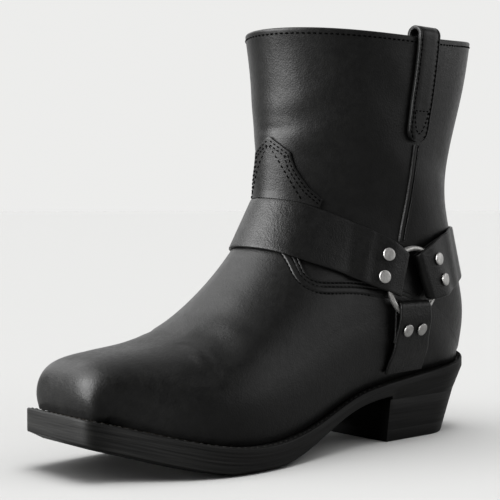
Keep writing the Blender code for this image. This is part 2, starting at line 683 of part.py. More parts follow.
class Strap:
    """A band on the upper, lifted over its rings, as edges and normals along its length."""

    def __init__(self, skin, plain, rows, sides):
        self.skin, self.plain = skin, plain
        table = [tuple(row) for row in rows]
        self.length = table[-1][0]
        self.sides = sides
        if len(sides) == 2:
            turn = 360.0 if rows[-1].top_angle > 90 else 0.0
            table += [
                (2 * self.length - row[0], turn - row[1], row[2], turn - row[3], row[4])
                for row in table[-2::-1]
            ]
            self.length *= 2
        self.table = np.array(table, float)

    def frame(self, along):
        """The band's two edges at rest on the upper, and its outward normal."""
        top_angle, top_z, low_angle, low_z = spline(self.table[:, 0], self.table[:, 1:], along)[0]
        side = self.sides[-1] if along > self.length / 2 else self.sides[0]
        flip = self.sides[0]
        (top, top_normal), (low, low_normal) = (
            on_upper(self.plain, flip * angle, z)
            for angle, z in ((top_angle, top_z), (low_angle, low_z))
        )
        normal = unit(top_normal + low_normal)
        swell = 0.0
        for share in np.linspace(0.0, 1.0, 11):
            chord = top + (low - top) * share
            place, _, _, _ = self.skin.ray_cast((chord + 30 * normal).tolist(), (-normal).tolist())
            if place is not None:
                swell = max(swell, float((np.array(place) - chord) @ normal))
        top, low = top + normal * (swell + STRAP_GAP), low + normal * (swell + STRAP_GAP)
        reach = min(along, self.length - along) if len(self.sides) == 2 else along
        near = 1 - ease((reach - PLANE_END) / (UPPER_START - PLANE_END))
        for point in (top, low):
            point[1] += near * (side * (RING_PLANE[side] + GAP) - point[1])
        normal = unit(near * np.array([0.0, side, 0.0]) + (1 - near) * normal)
        return top, low, normal

    def leaf_height(self, along):
        """Height of the outer leaf's middle above the upper."""
        reach = min(along, self.length - along) if len(self.sides) == 2 else along
        rest = STRAP_THICKNESS / 2
        on_flap = rest + STRAP_THICKNESS + GAP
        over = rest + STRAP_THICKNESS + 2 * (WIRE_RADIUS + WIRE_PLAY)
        pressed = ease((reach - LEAF_OVER_WIRE) / (LEAF_ON_FLAP - LEAF_OVER_WIRE))
        down = ease((reach - LEAF_PAST_FLAP) / (LEAF_DOWN - LEAF_PAST_FLAP))
        return over + (on_flap - over) * pressed + (rest - on_flap) * down

    def fold_path(self, fold):
        """(along, height, inset) of the strap's middle from its flap's end round the wire."""
        bend = STRAP_THICKNESS / 2 + WIRE_RADIUS + WIRE_PLAY
        centre = fold + bend + STRAP_THICKNESS / 2
        rest = STRAP_THICKNESS / 2
        path = [(x, rest, FLAP_INSET) for x in np.linspace(FLAP_END, centre, 3)[:-1]]
        for turn in np.linspace(0, 1, 6):
            angle = math.pi * (turn - 0.5)
            path.append((
                centre - bend * math.cos(angle),
                rest + bend + bend * math.sin(angle),
                FLAP_INSET * (1 - turn),
            ))
        return path

    def path(self, fold, step):
        """(along, height, inset) of the strap's middle from end to end."""
        start = self.fold_path(fold)
        first = start[-1][0]
        middle = self.length / 2 if len(self.sides) == 2 else self.length
        count = round((middle - LEAF_PAST_FLAP) / step)
        places = np.concatenate([
            np.linspace(LEAF_OVER_WIRE, LEAF_ON_FLAP, 5),
            np.linspace(LEAF_PAST_FLAP, middle, count + 1),
        ])
        leaf = [(x, self.leaf_height(x), 0.0) for x in places if x > first]
        if len(self.sides) == 1:
            return np.array(start + leaf)
        half = start + leaf
        return np.array(half + [(self.length - x, height, inset) for x, height, inset in half[-2::-1]])

    def build(self, name, fold, step, material):
        path = self.path(fold, step)
        heading = np.gradient(path[:, :2], axis=0)
        aside = np.column_stack([-heading[:, 1], heading[:, 0]])
        aside /= np.linalg.norm(aside, axis=1)[:, None]
        sections = []
        for (along, height, inset), off in zip(path, aside * STRAP_THICKNESS / 2):
            corners = []
            for sign in (1, -1):
                top, low, normal = self.frame(along + sign * off[0])
                across = unit(low - top) * inset
                rise = normal * (height + sign * off[1])
                edges = [top + across + rise, low - across + rise]
                corners += edges if sign > 0 else edges[::-1]
            sections.append(corners)
        return loft(name, sections, material)

    def place(self, along, across):
        """Point and normal of a rivet's seat on the strap's outer face."""
        points = []
        for x in (along - RIVET_RADIUS, along + RIVET_RADIUS, along):
            top, low, normal = self.frame(x)
            height = self.leaf_height(x) + STRAP_THICKNESS / 2
            points.append(top + (low - top) * across + normal * height)
        forward = unit(points[1] - points[0])
        normal = unit(normal - forward * (normal @ forward))
        middle = (points[0] + points[1]) / 2
        return middle + normal * max((points[2] - middle) @ normal, 0.0), normal


def make_ring(name, side, material):
    sections = []
    height = side * (RING_PLANE[side] + GAP + STRAP_THICKNESS + WIRE_PLAY + WIRE_RADIUS)
    for turn in np.linspace(0, 2 * math.pi, RING_STEPS + 1)[:-1]:
        wire = []
        for around in np.linspace(0, 2 * math.pi, WIRE_CORNERS + 1)[:-1]:
            reach = RING_RADIUS + WIRE_RADIUS * math.cos(around)
            wire.append((
                RING_U + reach * math.cos(turn),
                height + WIRE_RADIUS * math.sin(around),
                RING_Z + reach * math.sin(turn),
            ))
        sections.append(wire)
    return loft(name, sections, material, wrap=True)


def make_rivet(name, place, normal, material):
    """A flat-domed rivet head standing on a strap."""
    side = unit(np.cross(normal, [0.0, 0.0, 1.0]))
    up = np.cross(side, normal)
    sections = []
    for radius, height in RIVET_PROFILE:
        ring = []
        for turn in np.linspace(0, 2 * math.pi, RIVET_CORNERS + 1)[:-1]:
            out = side * math.cos(turn) + up * math.sin(turn)
            ring.append(place + normal * (RIVET_LIFT + height) + out * radius * RIVET_RADIUS)
        sections.append(ring)
    return loft(name, sections, material)


def make_pull_loop(name, skin, side, material):
    """A strip from its tip up the shaft, over the collar and down inside."""
    heights, angles, half_widths = np.array(PULL_LOOP).T
    rim_z = heights[-1]

    def frame(z):
        angle = side * np.interp(z, heights, angles)
        place, normal = on_upper(skin, angle, min(z, rim_z))
        above, _ = on_upper(skin, angle, min(z, rim_z) + 3.0)
        up = unit(above - place)
        across = unit(np.cross(up, normal)) * side
        return place + up * max(z - rim_z, 0.0), normal, across * np.interp(z, heights, half_widths)

    rest = GAP + LOOP_THICKNESS / 2
    bend = LOOP_ARCH / 2
    path = [(z, rest) for z in LOOP_STRAIGHT_Z]
    for turn in np.linspace(0, math.pi, 9):
        path.append((LOOP_TOP_Z - bend + bend * math.sin(turn), rest - bend + bend * math.cos(turn)))
    path = np.array(path + LOOP_INSIDE)
    heading = np.gradient(path, axis=0)
    aside = np.column_stack([-heading[:, 1], heading[:, 0]])
    aside /= np.linalg.norm(aside, axis=1)[:, None]
    sections = []
    for point, off in zip(path, aside):
        corners = []
        for sign in (1, -1):
            z, height = point + sign * off * LOOP_THICKNESS / 2
            place, normal, across = frame(z)
            edges = [place + across + normal * height, place - across + normal * height]
            corners += edges if sign > 0 else edges[::-1]
        sections.append(corners)
    return loft(name, sections, material)


def make_side_seam(name, skin, side, material):
    sections = []
    for z in np.linspace(SIDE_SEAM[0].z, SIDE_SEAM[-1].z, SEAM_STEPS):
        angle = np.interp(-z, [-row.z for row in SIDE_SEAM], [row.angle for row in SIDE_SEAM])
        place, normal = on_upper(skin, side * angle, z)
        lower, _ = on_upper(skin, side * angle, z - 2.0)
        across = unit(np.cross(normal, place - lower))
        sections.append([place + across * x + normal * (GAP + h) for x, h in SEAM_PROFILE])
    return loft(name, sections, material)


def make_tongue_patch(skin, material):
    """The patch's rows, from the instep strap's top edge up to its peak."""
    heights, angles = np.array(TONGUE_PATCH).T
    strap_angles = [row.top_angle for row in INSTEP_STRAP]
    strap_heights = [row.top_z for row in INSTEP_STRAP]
    levels = np.union1d(heights, [157.5, 165.0, 172.0, 178.0, 183.0])
    columns = PATCH_COLUMNS
    inner, outer = [], []
    for level in levels:
        half = np.interp(level, heights, angles)
        for angle in PATCH_TURN + np.linspace(-half, half, columns + 1):
            foot = np.interp(abs(angle), strap_angles[::-1], strap_heights[::-1]) + PATCH_CLEAR
            z = foot + (levels[-1] - foot) * (level - levels[0]) / (levels[-1] - levels[0])
            place, normal = on_upper(skin, angle, z)
            inner.append(place + normal * STRAP_GAP)
            outer.append(place + normal * (STRAP_GAP + PATCH_THICKNESS))
    shift = len(inner)
    wide = columns + 1
    faces = []
    for i in range(len(levels) - 1):
        for j in range(columns):
            a = i * wide + j
            quad = (a, a + 1, a + wide + 1, a + wide)
            faces += [quad, tuple(shift + k for k in quad)]
    border = [(j, j + 1) for j in range(columns)]
    border += [((len(levels) - 1) * wide + j, (len(levels) - 1) * wide + j + 1) for j in range(columns)]
    for i in range(len(levels) - 1):
        border += [(i * wide, (i + 1) * wide), (i * wide + columns, (i + 1) * wide + columns)]
    faces += [(a, b, shift + b, shift + a) for a, b in border]
    return add_object("tongue_patch", inner + outer, faces, material)


SIDE_NAMES = {1: "outer", -1: "inner"}


def make_harness(skin, plain, leather, nickel):
    """Instep and heel straps between the two rings, and the stirrup below each ring."""
    straps = {
        "instep": Strap(skin, plain, INSTEP_STRAP, (1, -1)),
        "heel": Strap(skin, plain, HEEL_STRAP, (1, -1)),
    }
    straps["instep"].build("instep_strap", INSTEP_FOLD, STRAP_STEP, leather)
    straps["heel"].build("heel_strap", HEEL_FOLD, STRAP_STEP, leather)
    for side, word in SIDE_NAMES.items():
        stirrup = Strap(skin, plain, STIRRUP, (side,))
        stirrup.build(f"stirrup_{word}", STIRRUP_FOLD, STRAP_STEP, leather)
        make_ring(f"ring_{word}", side, nickel)
        for number, rivet in enumerate(RIVETS, 1):
            strap = straps.get(rivet.strap, stirrup)
            along = strap.length - rivet.along if side < 0 and len(strap.sides) == 2 else rivet.along
            place, normal = strap.place(along, rivet.across)
            make_rivet(f"rivet_{word}_{number}", place, normal, nickel)


def main():
    for obj in list(bpy.data.objects):
        bpy.data.objects.remove(obj, do_unlink=True)
    leather = make_material("black_leather", (0.012, 0.012, 0.012), 0.42)
    rubber = make_material("black_rubber", (0.014, 0.014, 0.014), 0.6)
    board = make_material("insole_leather", (0.02, 0.018, 0.016), 0.8)
    nickel = make_material("brushed_nickel", (0.55, 0.54, 0.52), 0.3, 1.0)
    face = UpperFace()
    make_upper(face, leather)
    make_insole(board)
    make_welt(leather)
    make_outsole(rubber)
    make_heel_block(rubber)
    skin = make_skin(face)
    make_tongue_patch(skin, leather)
    make_harness(skin, make_skin(face, stepped=False), leather, nickel)
    for side, word in SIDE_NAMES.items():
        make_pull_loop(f"pull_loop_{word}", skin, side, leather)
        make_side_seam(f"side_seam_{word}", skin, side, leather)


main()
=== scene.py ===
"""Looks of the left harness boot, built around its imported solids.

Lengths are millimetres. A point is (u, v, z): u runs forward from the back of the sole, v to the
wearer's left, which is the outer side, and z up from the floor. world() gives metres in the
frame's axes. The tables and surface functions repeat the part's own, so that each piece lies
where its solid is, with finer steps, rounded edges, creases and stitches.
"""

import math
from collections import namedtuple

import bmesh
import bpy
import numpy as np
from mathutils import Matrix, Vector
from mathutils.bvhtree import BVHTree

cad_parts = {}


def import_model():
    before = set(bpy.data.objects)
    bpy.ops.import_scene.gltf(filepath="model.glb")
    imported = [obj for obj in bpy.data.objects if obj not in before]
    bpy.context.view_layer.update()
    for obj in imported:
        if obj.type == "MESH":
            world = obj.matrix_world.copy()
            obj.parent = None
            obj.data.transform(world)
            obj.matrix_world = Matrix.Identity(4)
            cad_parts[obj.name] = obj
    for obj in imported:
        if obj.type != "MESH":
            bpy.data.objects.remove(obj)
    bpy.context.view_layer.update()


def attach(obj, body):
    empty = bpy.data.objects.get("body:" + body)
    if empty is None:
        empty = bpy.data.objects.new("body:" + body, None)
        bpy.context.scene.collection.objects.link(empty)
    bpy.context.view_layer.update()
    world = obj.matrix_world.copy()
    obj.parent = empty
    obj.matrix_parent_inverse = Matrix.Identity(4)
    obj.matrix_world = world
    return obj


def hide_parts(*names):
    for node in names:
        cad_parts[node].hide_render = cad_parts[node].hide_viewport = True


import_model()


def named_rows(kind, rows):
    """Rows of numbers as named tuples of one kind."""
    return [kind(*row) for row in rows]


# Driving dimensions, as in the part

MM = 0.001
SOLE_LENGTH = 300.0
COLLAR_BACK_U = -3.0
CENTRE_U = (SOLE_LENGTH + COLLAR_BACK_U) / 2
CENTRE_V = 0.25
GAP = 0.3
SEAT_GAP = 0.6
WALL = 2.4
WELT_THICKNESS = 4.0
WELT_UNDER_WALL = WALL + GAP
INSOLE_ABOVE_WELT = 3.0
INSOLE_INSET = 5.2
HEEL_RIM_Z = 47.0
HEEL_SPLIT_Z = 26.2
HEEL_BREAST_U = 87.0
HEEL_BREAST_SLOPE = 2.0
HEEL_BACK_SLOPE = 19.5
HEEL_SIDE_TAPER = 4.0
TREAD_INSET = 9.0
TREAD_RISE = 1.5
LEG_U = 86.0

SoleRow = namedtuple("SoleRow", "u top under line_outer line_inner edge_outer edge_inner")
SOLE = named_rows(SoleRow, [
    (-4, 46.6, 27, 30.5, 30.5, 35.5, 35), (36.5, 42.6, 27.6, 31.5, 31.5, 36, 35.5),
    (81, 37.6, 27.2, 33, 30.5, 37.4, 34.5), (120, 31, 21.8, 35.5, 28, 39.6, 32.5),
    (156, 20, 9, 42, 30, 47, 35), (190, 14.4, -0.2, 48.5, 36.5, 54.3, 42.5),
    (220, 14.9, -0.8, 49.8, 41, 56.2, 47.5), (255, 22, 6.2, 38.5, 40, 45, 46.5),
    (286, 30.6, 15.2, 17, 35.8, 25, 41.8), (304, 35.2, 20.6, 6, 31.5, 15.5, 38),
])

Outline = namedtuple("Outline", "outer inner back_u heel_u toe_u front_u toe_v square")
UPPER_LINE = Outline(2, 3, 3.5, 36.5, 284.0, 294.6, -9.0, 4.0)
SOLE_EDGE = Outline(4, 5, 0.0, 36.5, 289.0, 300.0, -9.5, 5.0)

BackRow = namedtuple("BackRow", "z u")
BACK = named_rows(BackRow, [
    (46, 3.5), (58, 0.4), (72, -0.8), (92, 3.9), (116, 11.8), (140, 18.8), (158, 19.3),
    (185, 13.2), (218, 3), (252, -3.5),
])

# The upper's sections, from the toe line to the collar

Section = namedtuple("Section", "name top_u top_z ridge_v low outer inner widest crown under")
SECTIONS = named_rows(Section, [
    ("toe_line", 294.6, 33.4, -9, 299.3, 19.6, 36.6, 0.05, 3.8, 2),
    ("toe_front", 296.2, 43.5, -9, 298, 20.8, 37.4, 0.20, 3.8, 2),
    ("toe_edge", 293.8, 54, -8.8, 296.2, 22.4, 38, 0.30, 3.5, 2),
    ("toe_top", 284.5, 61.6, -8.4, 292.2, 26.2, 38.6, 0.36, 3.2, 2),
    ("toe_box", 265, 65.3, -7.6, 280.5, 34.4, 40.4, 0.36, 2.8, 2),
    ("ball_front", 241, 69, -7, 260, 46.2, 42.8, 0.34, 2.4, 2),
    ("ball", 216, 79, -7, 232.5, 53, 43.2, 0.31, 2.2, 2),
    ("waist", 195.5, 95.5, -6.4, 202, 51.5, 40.2, 0.31, 2.05, 2),
    ("instep_low", 180.5, 111.5, -5, 164, 48, 38.2, 0.34, 2, 2.1),
    ("instep", 169.2, 126, -3.6, 119, 45, 38.2, 0.37, 2, 2.2),
    ("instep_top", 162.4, 138, -2.4, 75, 43, 39, 0.40, 2, 2.35),
    ("throat_low", 159.4, 147, -1.4, 39, 41.8, 39.8, 0.42, 2, 2.45),
    ("throat", 158.4, 154, -0.8, 13.5, 41.2, 40.2, 0.44, 2, 2.5),
    ("heel_seat", 158, 160.5, -0.4, 0, 41.2, 40.5, 0.45, 2, 2.5),
    ("heel_low", 157.8, 167, -0.2, -12, 41.6, 41, 0.46, 2, 2.5),
    ("heel_top", 157.6, 175, 0, -33, 42.5, 42, 0.47, 2, 2.4),
    ("ankle_low", 157.4, 184.5, 0, -60, 44.5, 44, 0.48, 2, 2.25),
    ("ankle", 157.2, 195, 0, -87, 47, 46.5, 0.49, 2, 2.15),
    ("ankle_top", 157.2, 205, 0, -110, 48.6, 48.1, 0.50, 2, 2.1),
    ("shaft_low", 157.8, 217, 0, -137.5, 50.5, 50, 0.50, 2, 2.05),
    ("shaft", 159.3, 231.5, 0, -169.5, 53, 52.5, 0.50, 2, 2),
    ("collar", 162, 247.6, 0, -204, 55, 54.5, 0.50, 2, 2),
])
HEEL_SEAT = [row.name for row in SECTIONS].index("heel_seat")
COLLAR = len(SECTIONS) - 1
COLLAR_DIP = 0.17
HEEL_EASE = 14.0
ARC_SAMPLES = 320

VampRow = namedtuple("VampRow", "turn station step")
VAMP_EDGE = named_rows(VampRow, [
    (0.50, 9.75, 0.3), (0.54, 9.72, 0.4), (0.58, 9.52, 0.8), (0.62, 9.25, 1.2),
    (0.645, 9.08, 1.2), (0.67, 8.94, 1.2), (0.685, 8.97, 1.2), (0.70, 9.17, 1.2),
    (0.7125, 9.50, 1.2), (0.73, 10.02, 1.2), (0.75, 10.52, 1.1), (0.78, 11.20, 0.7),
    (0.82, 12.00, 0), (0.88, 12.60, 0), (0.94, 12.90, 0), (1.00, 13.00, 0),
])
EDGE_STEP = max(row.step for row in VAMP_EDGE)
EDGE_SAMPLES, EDGE_REACH = 1200, 0.07
TOE_CROWDING = 1.25
ROW_STATIONS = 11.3
EDGE_PULL = 3
STEP_FADE = 0.35

PatchRow = namedtuple("PatchRow", "z half_angle")
TONGUE_PATCH = named_rows(PatchRow, [
    (143, 22.8), (148.4, 24.4), (150.2, 22), (153.7, 17.9), (159.2, 14.7), (165.3, 12),
    (170.7, 10.9), (174.6, 10.4), (185, 0.2),
])
PATCH_TURN = 3.3
PATCH_THICKNESS = 1.6
PATCH_CLEAR = 1.0

# The harness, as in the part

STRAP_THICKNESS = 1.8
STRAP_GAP = 0.8
RING_U, RING_Z = 80.0, 98.2
RING_RADIUS, WIRE_RADIUS = 20.3, 1.6
SIDE_NAMES = {1: "outer", -1: "inner"}
RING_PLANE = {1: 42.6, -1: 41.6}
WIRE_PLAY = 0.2
FLAP_END, FLAP_INSET = 36.0, 1.3
LEAF_OVER_WIRE, LEAF_ON_FLAP, LEAF_PAST_FLAP, LEAF_DOWN = 20.0, 36.0, 37.5, 51.0
PLANE_END, UPPER_START = 22.0, 37.0

StrapRow = namedtuple("StrapRow", "along top_angle top_z low_angle low_z")
INSTEP_FOLD = 8.8
INSTEP_STRAP = named_rows(StrapRow, [
    (-2.2, 104, 109, 96.8, 85), (9.4, 91, 114.9, 81.9, 89.4), (24.8, 72.8, 123.3, 63.2, 94.5),
    (40.8, 54.4, 130.6, 48.6, 100), (55.8, 40.6, 136, 37.7, 105.6),
    (68.8, 29.5, 140.6, 28, 110), (83.8, 17.4, 145.2, 17.6, 115.2),
    (93.8, 9.7, 147, 9.7, 118.2), (105.8, 0, 147.9, 0, 119.3),
])
HEEL_FOLD = 7.6
HEEL_STRAP = named_rows(StrapRow, [
    (1.6, 92.7, 112, 107.7, 86), (7.6, 100.1, 114.5, 114.9, 86.8),
    (21, 113.2, 120.4, 129.9, 88.8), (33.6, 126.5, 126, 138.8, 92.2),
    (48.6, 140.4, 129.6, 149.1, 96), (71.6, 160, 130.6, 164.5, 100.2),
    (95.6, 180, 130.8, 180, 102),
])
STIRRUP_FOLD = 11.2
STIRRUP = named_rows(StrapRow, [
    (0, 79.8, 98.2, 113.8, 98.2), (12, 79.8, 86.2, 113.8, 86.2), (28, 79.2, 70.2, 116.6, 70.2),
    (45, 76.4, 53.2, 122.6, 53.5), (56.2, 74, 42, 126.5, 42.6),
])

RIVET_RADIUS, RIVET_LIFT = 3.9, 0.45
RivetRow = namedtuple("RivetRow", "strap along across")
RIVETS = named_rows(RivetRow, [
    ("instep", 26.6, 0.31), ("instep", 26.6, 0.76), ("heel", 23.2, 0.30), ("heel", 23.2, 0.70),
    ("stirrup", 28.6, 0.27), ("stirrup", 28.6, 0.70),
])

LoopRow = namedtuple("LoopRow", "z angle half_width")
PULL_LOOP = named_rows(LoopRow, [
    (182.5, 95.2, 8.6), (196, 96.3, 8.9), (207, 97.2, 9.1), (220, 98.2, 9), (238, 99.2, 9),
])
LOOP_THICKNESS = 2.4
LOOP_TOP_Z = 250.0
LOOP_ARCH = 8.6
LoopInside = namedtuple("LoopInside", "z away")
LOOP_INSIDE = named_rows(LoopInside, [
    (240, -6.6), (232, -4.9), (224, -4.15), (206, -4.15),
])

SeamRow = namedtuple("SeamRow", "z angle")
SIDE_SEAM = named_rows(SeamRow, [
    (180.8, 97.4), (160, 95.5), (145, 94.6), (123, 91.6),
])

# Steps and roundings of the finished pieces

FACE_PER_SECTION, FACE_TURNS = 24, 360
UPPER_STEPS = (200, 112, 84, 84)
SKIN_STEPS = (160, 100, 60, 90)
SEAM_START, LIP_START, LIP_ROUNDING = 0.84, 0.993, 0.8
LIP_SHARES = (0.3, 0.55, 0.75, 0.9, 1.0)
RIM_STEPS = 6
COLLAR_FADE = (0.75, 0.5, 0.25, 0.0)
STATION_NUDGE, TURN_NUDGE = 0.03, 0.005
MEET_WITHIN, WELD_WITHIN, SLIVER_WITHIN = 0.01, 0.004, 0.002
SHARP_DEG, UPPER_SHARP_DEG = 50, 60
CAST_FROM_SIDE, CAST_FROM_ABOVE = 250.0, 400.0
HEEL_STEPS, SIDE_STEPS, TOE_STEPS = 28, 84, 34
CORNER_REACH, CORNER_SAMPLES = 8.0, 17
STRAP_STEP, STRAP_FRAME_STEP, FOLD_STEPS = 1.6, 4.0, 16
FRAME_WEIGHTS = (0.1, 0.2, 0.4, 0.2, 0.1)
SWELL_SAMPLES, SWELL_REACH = 11, 30.0
EDGE_SHARES = (0.0, 0.007, 0.02, 0.06, 0.2, 0.4)
EDGE_HEIGHTS = (0.5, 0.84, 1.0, 1.0, 1.0, 1.0)
RING_STEPS, WIRE_STEPS = 88, 16
RIVET_STEPS = 32
RIVET_PROFILE = [
    (1.0, 0.0), (1.0, 0.5), (0.97, 0.74), (0.9, 0.88), (0.75, 0.95), (0.45, 0.99), (0.0, 1.0),
]
JOINT_LINE, HEEL_JOINT = 0.03, 0.12
HEEL_TOP_Z = HEEL_SPLIT_Z - JOINT_LINE
HEEL_CUP_RISE, HEEL_CUP_END, HEEL_CUP_CURVE = 3.2, 45.0, 1.5
BREAST_MARGIN, BREAST_NORMAL_Y = 1.0, -0.8
WELT_CLEAR = 0.6
WELT_STITCH_IN, WELT_GROOVE_HALF = 2.7, 0.7
SideRing = namedtuple("SideRing", "inset share lift")
OUTSOLE_RINGS = named_rows(SideRing, [
    (1.4, 0, -0.12), (0.5, 0, 0.12), (0.12, 0, 0.55), (0, 0, 1.2), (0, 0.35, 0), (0, 0.7, 0),
    (0, 1, 0),
])
EdgeRing = namedtuple("EdgeRing", "inset drop")
WELT_RIM = named_rows(EdgeRing, [(0, 1.1), (0.12, 0.6), (0.4, 0.22), (0.9, 0.05)])
WELT_TOP = named_rows(EdgeRing, [
    (1.4, 0), (WELT_STITCH_IN - WELT_GROOVE_HALF, 0), (WELT_STITCH_IN, 0.45),
    (WELT_STITCH_IN + WELT_GROOVE_HALF, 0),
])
HeelRing = namedtuple("HeelRing", "inset z")
HEEL_RINGS = named_rows(HeelRing, [
    (1.2, 0), (0.35, 0.12), (0, 0.7), (0, 6.8), (0.07, 7.1), (0, 7.4), (0, 16), (0.05, 16.3),
    (0, 16.6), (0, HEEL_TOP_Z - 0.06), (0.05, HEEL_TOP_Z),
])
BoardRing = namedtuple("BoardRing", "inset lift")
INSOLE_RINGS = named_rows(BoardRing, [
    (0, -WELT_THICKNESS), (0, 1.6), (0.3, 2.4), (1, 2.85), (2.4, INSOLE_ABOVE_WELT),
])
LOOP_TIP, LOOP_TIP_SQUARE, LOOP_TIP_START = 9.0, 2.4, 0.1
LOOP_TIP_STEPS = (0.15, 0.5, 1.1, 1.9, 3.0, 4.4, 6.2, 9.0)
LOOP_STEPS, ARCH_STEPS, LOOP_KNOTS, LOOP_NUDGE = 26, 17, 22, 3.0
LOOP_SHARES = (0.0, 0.0075, 0.025, 0.0625, 0.075, 0.095, 0.115, 0.1275, 0.35)
LOOP_HEIGHTS = (0.55, 0.86, 1.0, 1.0, 0.9, 0.7, 0.9, 1.0, 1.0)
RIDGE_REACH, RIDGE_SAMPLES, RIDGE_STEPS, RIDGE_NUDGE = 3.2, 33, 48, 2.0
RIDGE_BASE, RIDGE_HEIGHT = 0.05, 1.15
RIDGE_HALF, RIDGE_SLOPE, GROOVE_HALF, GROOVE_SLOPE = 3.25, 0.9, 0.25, 0.6
PATCH_STEPS, PATCH_PEAK_RUN, PATCH_PEAK_HEIGHT = 60, 1.0, 0.6
PATCH_SHARES = (0.0, 0.010, 0.03, 0.08, 0.16, 0.28, 0.4, 0.5)
PATCH_HEIGHTS = (0.72, 0.93, 1.0, 1.0, 1.0, 1.0, 1.0, 1.0)

# Creases laid on the upper. "top" places are (u, v) seen from above, "leg" places are
# (angle about the leg, z). A positive depth is a trough and a negative one a ridge.

Crease = namedtuple("Crease", "depth width seen places")
CREASES = named_rows(Crease, [
    (0.70, 1.5, "top", [(236, 17), (232, 23), (230.5, 30), (230.4, 37), (229.6, 42), (227.5, 46)]),
    (-0.50, 2.6, "top", [(238, 22), (235.5, 30), (234.5, 37), (232, 42)]),
    (0.90, 6, "top", [(247, 38), (241, 41), (234, 44.5), (227, 46.5)]),
    (0.80, 6.5, "top", [(224, 12), (220, 26), (217.5, 38), (217, 46)]),
    (0.35, 7, "top", [(226, -26), (227, -12), (227, 2), (224, 14)]),
    (0.50, 3, "top", [(226, -18), (224, -28), (222, -36), (220, -41)]),
    (0.35, 5, "top", [(212, -24), (210, -32), (208, -38)]),
    (0.30, 8, "top", [(206, -20), (208, -4), (207, 12), (203, 28)]),
    (0.55, 7, "leg", [(-34, 198), (-16, 193), (0, 191), (18, 193), (33, 199), (46, 205)]),
    (-0.35, 6, "leg", [(7, 188), (13, 186), (20, 185), (28, 186.5), (36, 190)]),
    (0.20, 2.2, "leg", [(-12, 191), (-2, 190), (8, 189.4), (18, 190)]),
    (0.18, 1.2, "leg", [(3.2, 238), (4.4, 232), (6.4, 225)]),
    (0.18, 1.2, "leg", [(8.4, 236), (9.6, 230), (10.6, 222)]),
    (0.16, 1.1, "leg", [(12, 229), (14, 222), (15, 215)]),
    (0.40, 9, "leg", [(14, 246), (24, 228), (36, 214)]),
    (0.45, 8, "leg", [(52, 226), (66, 214), (78, 200)]),
    (0.45, 7, "leg", [(56, 168), (70, 163), (84, 162)]),
    (0.50, 7, "leg", [(118, 176), (136, 168), (152, 164)]),
    (0.50, 7, "leg", [(-118, 172), (-136, 166), (-154, 164)]),
    (0.45, 6, "leg", [(160, 150), (180, 148), (200, 150)]),
    (0.45, 7, "leg", [(-50, 190), (-66, 180), (-82, 176)]),
])
CREASE_SAMPLES, CREASE_REACH, CREASE_TAPER = 70, 4, 0.8

# Raised rims along a crease, in shares of its depth and width

RIM_HEIGHT, RIM_AWAY, RIM_WIDTH = 0.4, 1.9, 0.8

# Unevenness of the upper, as waves along u, v and z: millimetres per radian, and shifts

UNEVEN = 0.22
UNEVEN_WAVES = ((17, 1.0), (13, 0.4), (19, 0.0))

# Stitches: pitch, length and half thickness

Thread = namedtuple("Thread", "pitch length radius")
FINE_THREAD = Thread(3.3, 2.4, 0.50)
EDGE_THREAD = Thread(2.8, 2.1, 0.42)
WELT_THREAD = Thread(4.4, 2.8, 0.60)
CAPSULE_RINGS = ((-1.0, 0.3), (-0.82, 0.75), (-0.4, 1.0), (0.4, 1.0), (0.82, 0.75), (1.0, 0.3))
CAPSULE_CORNERS, CAPSULE_SINK = 6, 0.9
COLLAR_STITCH_DOWN, COLLAR_SCALE_DOWN = 3.3, 0.2
VAMP_STITCH_ROWS = (1.7, 4.0, 8.0)
VAMP_ROW_LIFT, VAMP_ROW_SINK = 0.97, 0.7
SEAM_DEPTH, SEAM_WIDTH = 0.45, 0.5
SEAM_PUFF = 0.35
PATCH_STITCH_ROWS = (1.7, 3.7)
PATCH_RADIUS, PATCH_ROW_SAMPLES, PATCH_ROW_END = 72.0, 80, 0.4
PATCH_CHEVRON = [(0.2, 180.0), (4.9, 170.8), (8.6, 162.0), (11.8, 154.4), (14.8, 147.6)]
LOOP_STITCH_IN = 1.7
LOOP_ROW_START, LOOP_ROW_END, LOOP_ROW_SAMPLES = 2.2, 6.0, 60
LOOP_BAR_Z, LOOP_BAR_HALF, LOOP_BAR_SAMPLES = 201.0, 0.72, 12
SHIELD_ABOVE_TIP, SHIELD_HALF, SHIELD_CURVE, SHIELD_SAMPLES = 5.0, 0.66, 1.18, 30
WELT_ROW_START, WELT_ROW_SINK = 6.0, 0.1

# Rows of stitches on the upper: first turn, last turn and samples; then stations to search below
# the vamp's edge

COLLAR_ROW = (0.004, 0.996, 500)
VAMP_ROWS = ((0.545, 0.77, 240), (0.23, 0.455, 240))
VAMP_SEARCH = (0, 1.5, 70)


# Curves

def spline(knots, values, at):
    """Natural cubic spline through the rows of values at the given places."""
    x = np.asarray(knots, float)
    y = np.asarray(values, float).reshape(len(x), -1)
    step = np.diff(x)
    slope = np.diff(y, axis=0) / step[:, None]
    bend = np.zeros_like(y)
    inner = np.diag(2 * (step[:-1] + step[1:]))
    inner += np.diag(step[1:-1], 1) + np.diag(step[1:-1], -1)
    bend[1:-1] = np.linalg.solve(inner, 6 * np.diff(slope, axis=0))
    at = np.atleast_1d(np.asarray(at, float))
    k = np.clip(np.searchsorted(x, at) - 1, 0, len(x) - 2)
    h, left, right = step[k][:, None], (x[k + 1] - at)[:, None], (at - x[k])[:, None]
    return (
        bend[k] * left**3 / (6 * h)
        + bend[k + 1] * right**3 / (6 * h)
        + (y[k] / h - bend[k] * h / 6) * left
        + (y[k + 1] / h - bend[k + 1] * h / 6) * right
    )


def unit(vector):
    """Vectors scaled to length 1."""
    return vector / np.linalg.norm(vector, axis=-1, keepdims=True)


def ease(x):
    """From 0 to 1 with soft ends."""
    x = np.clip(x, 0, 1)
    return x * x * (3 - 2 * x)


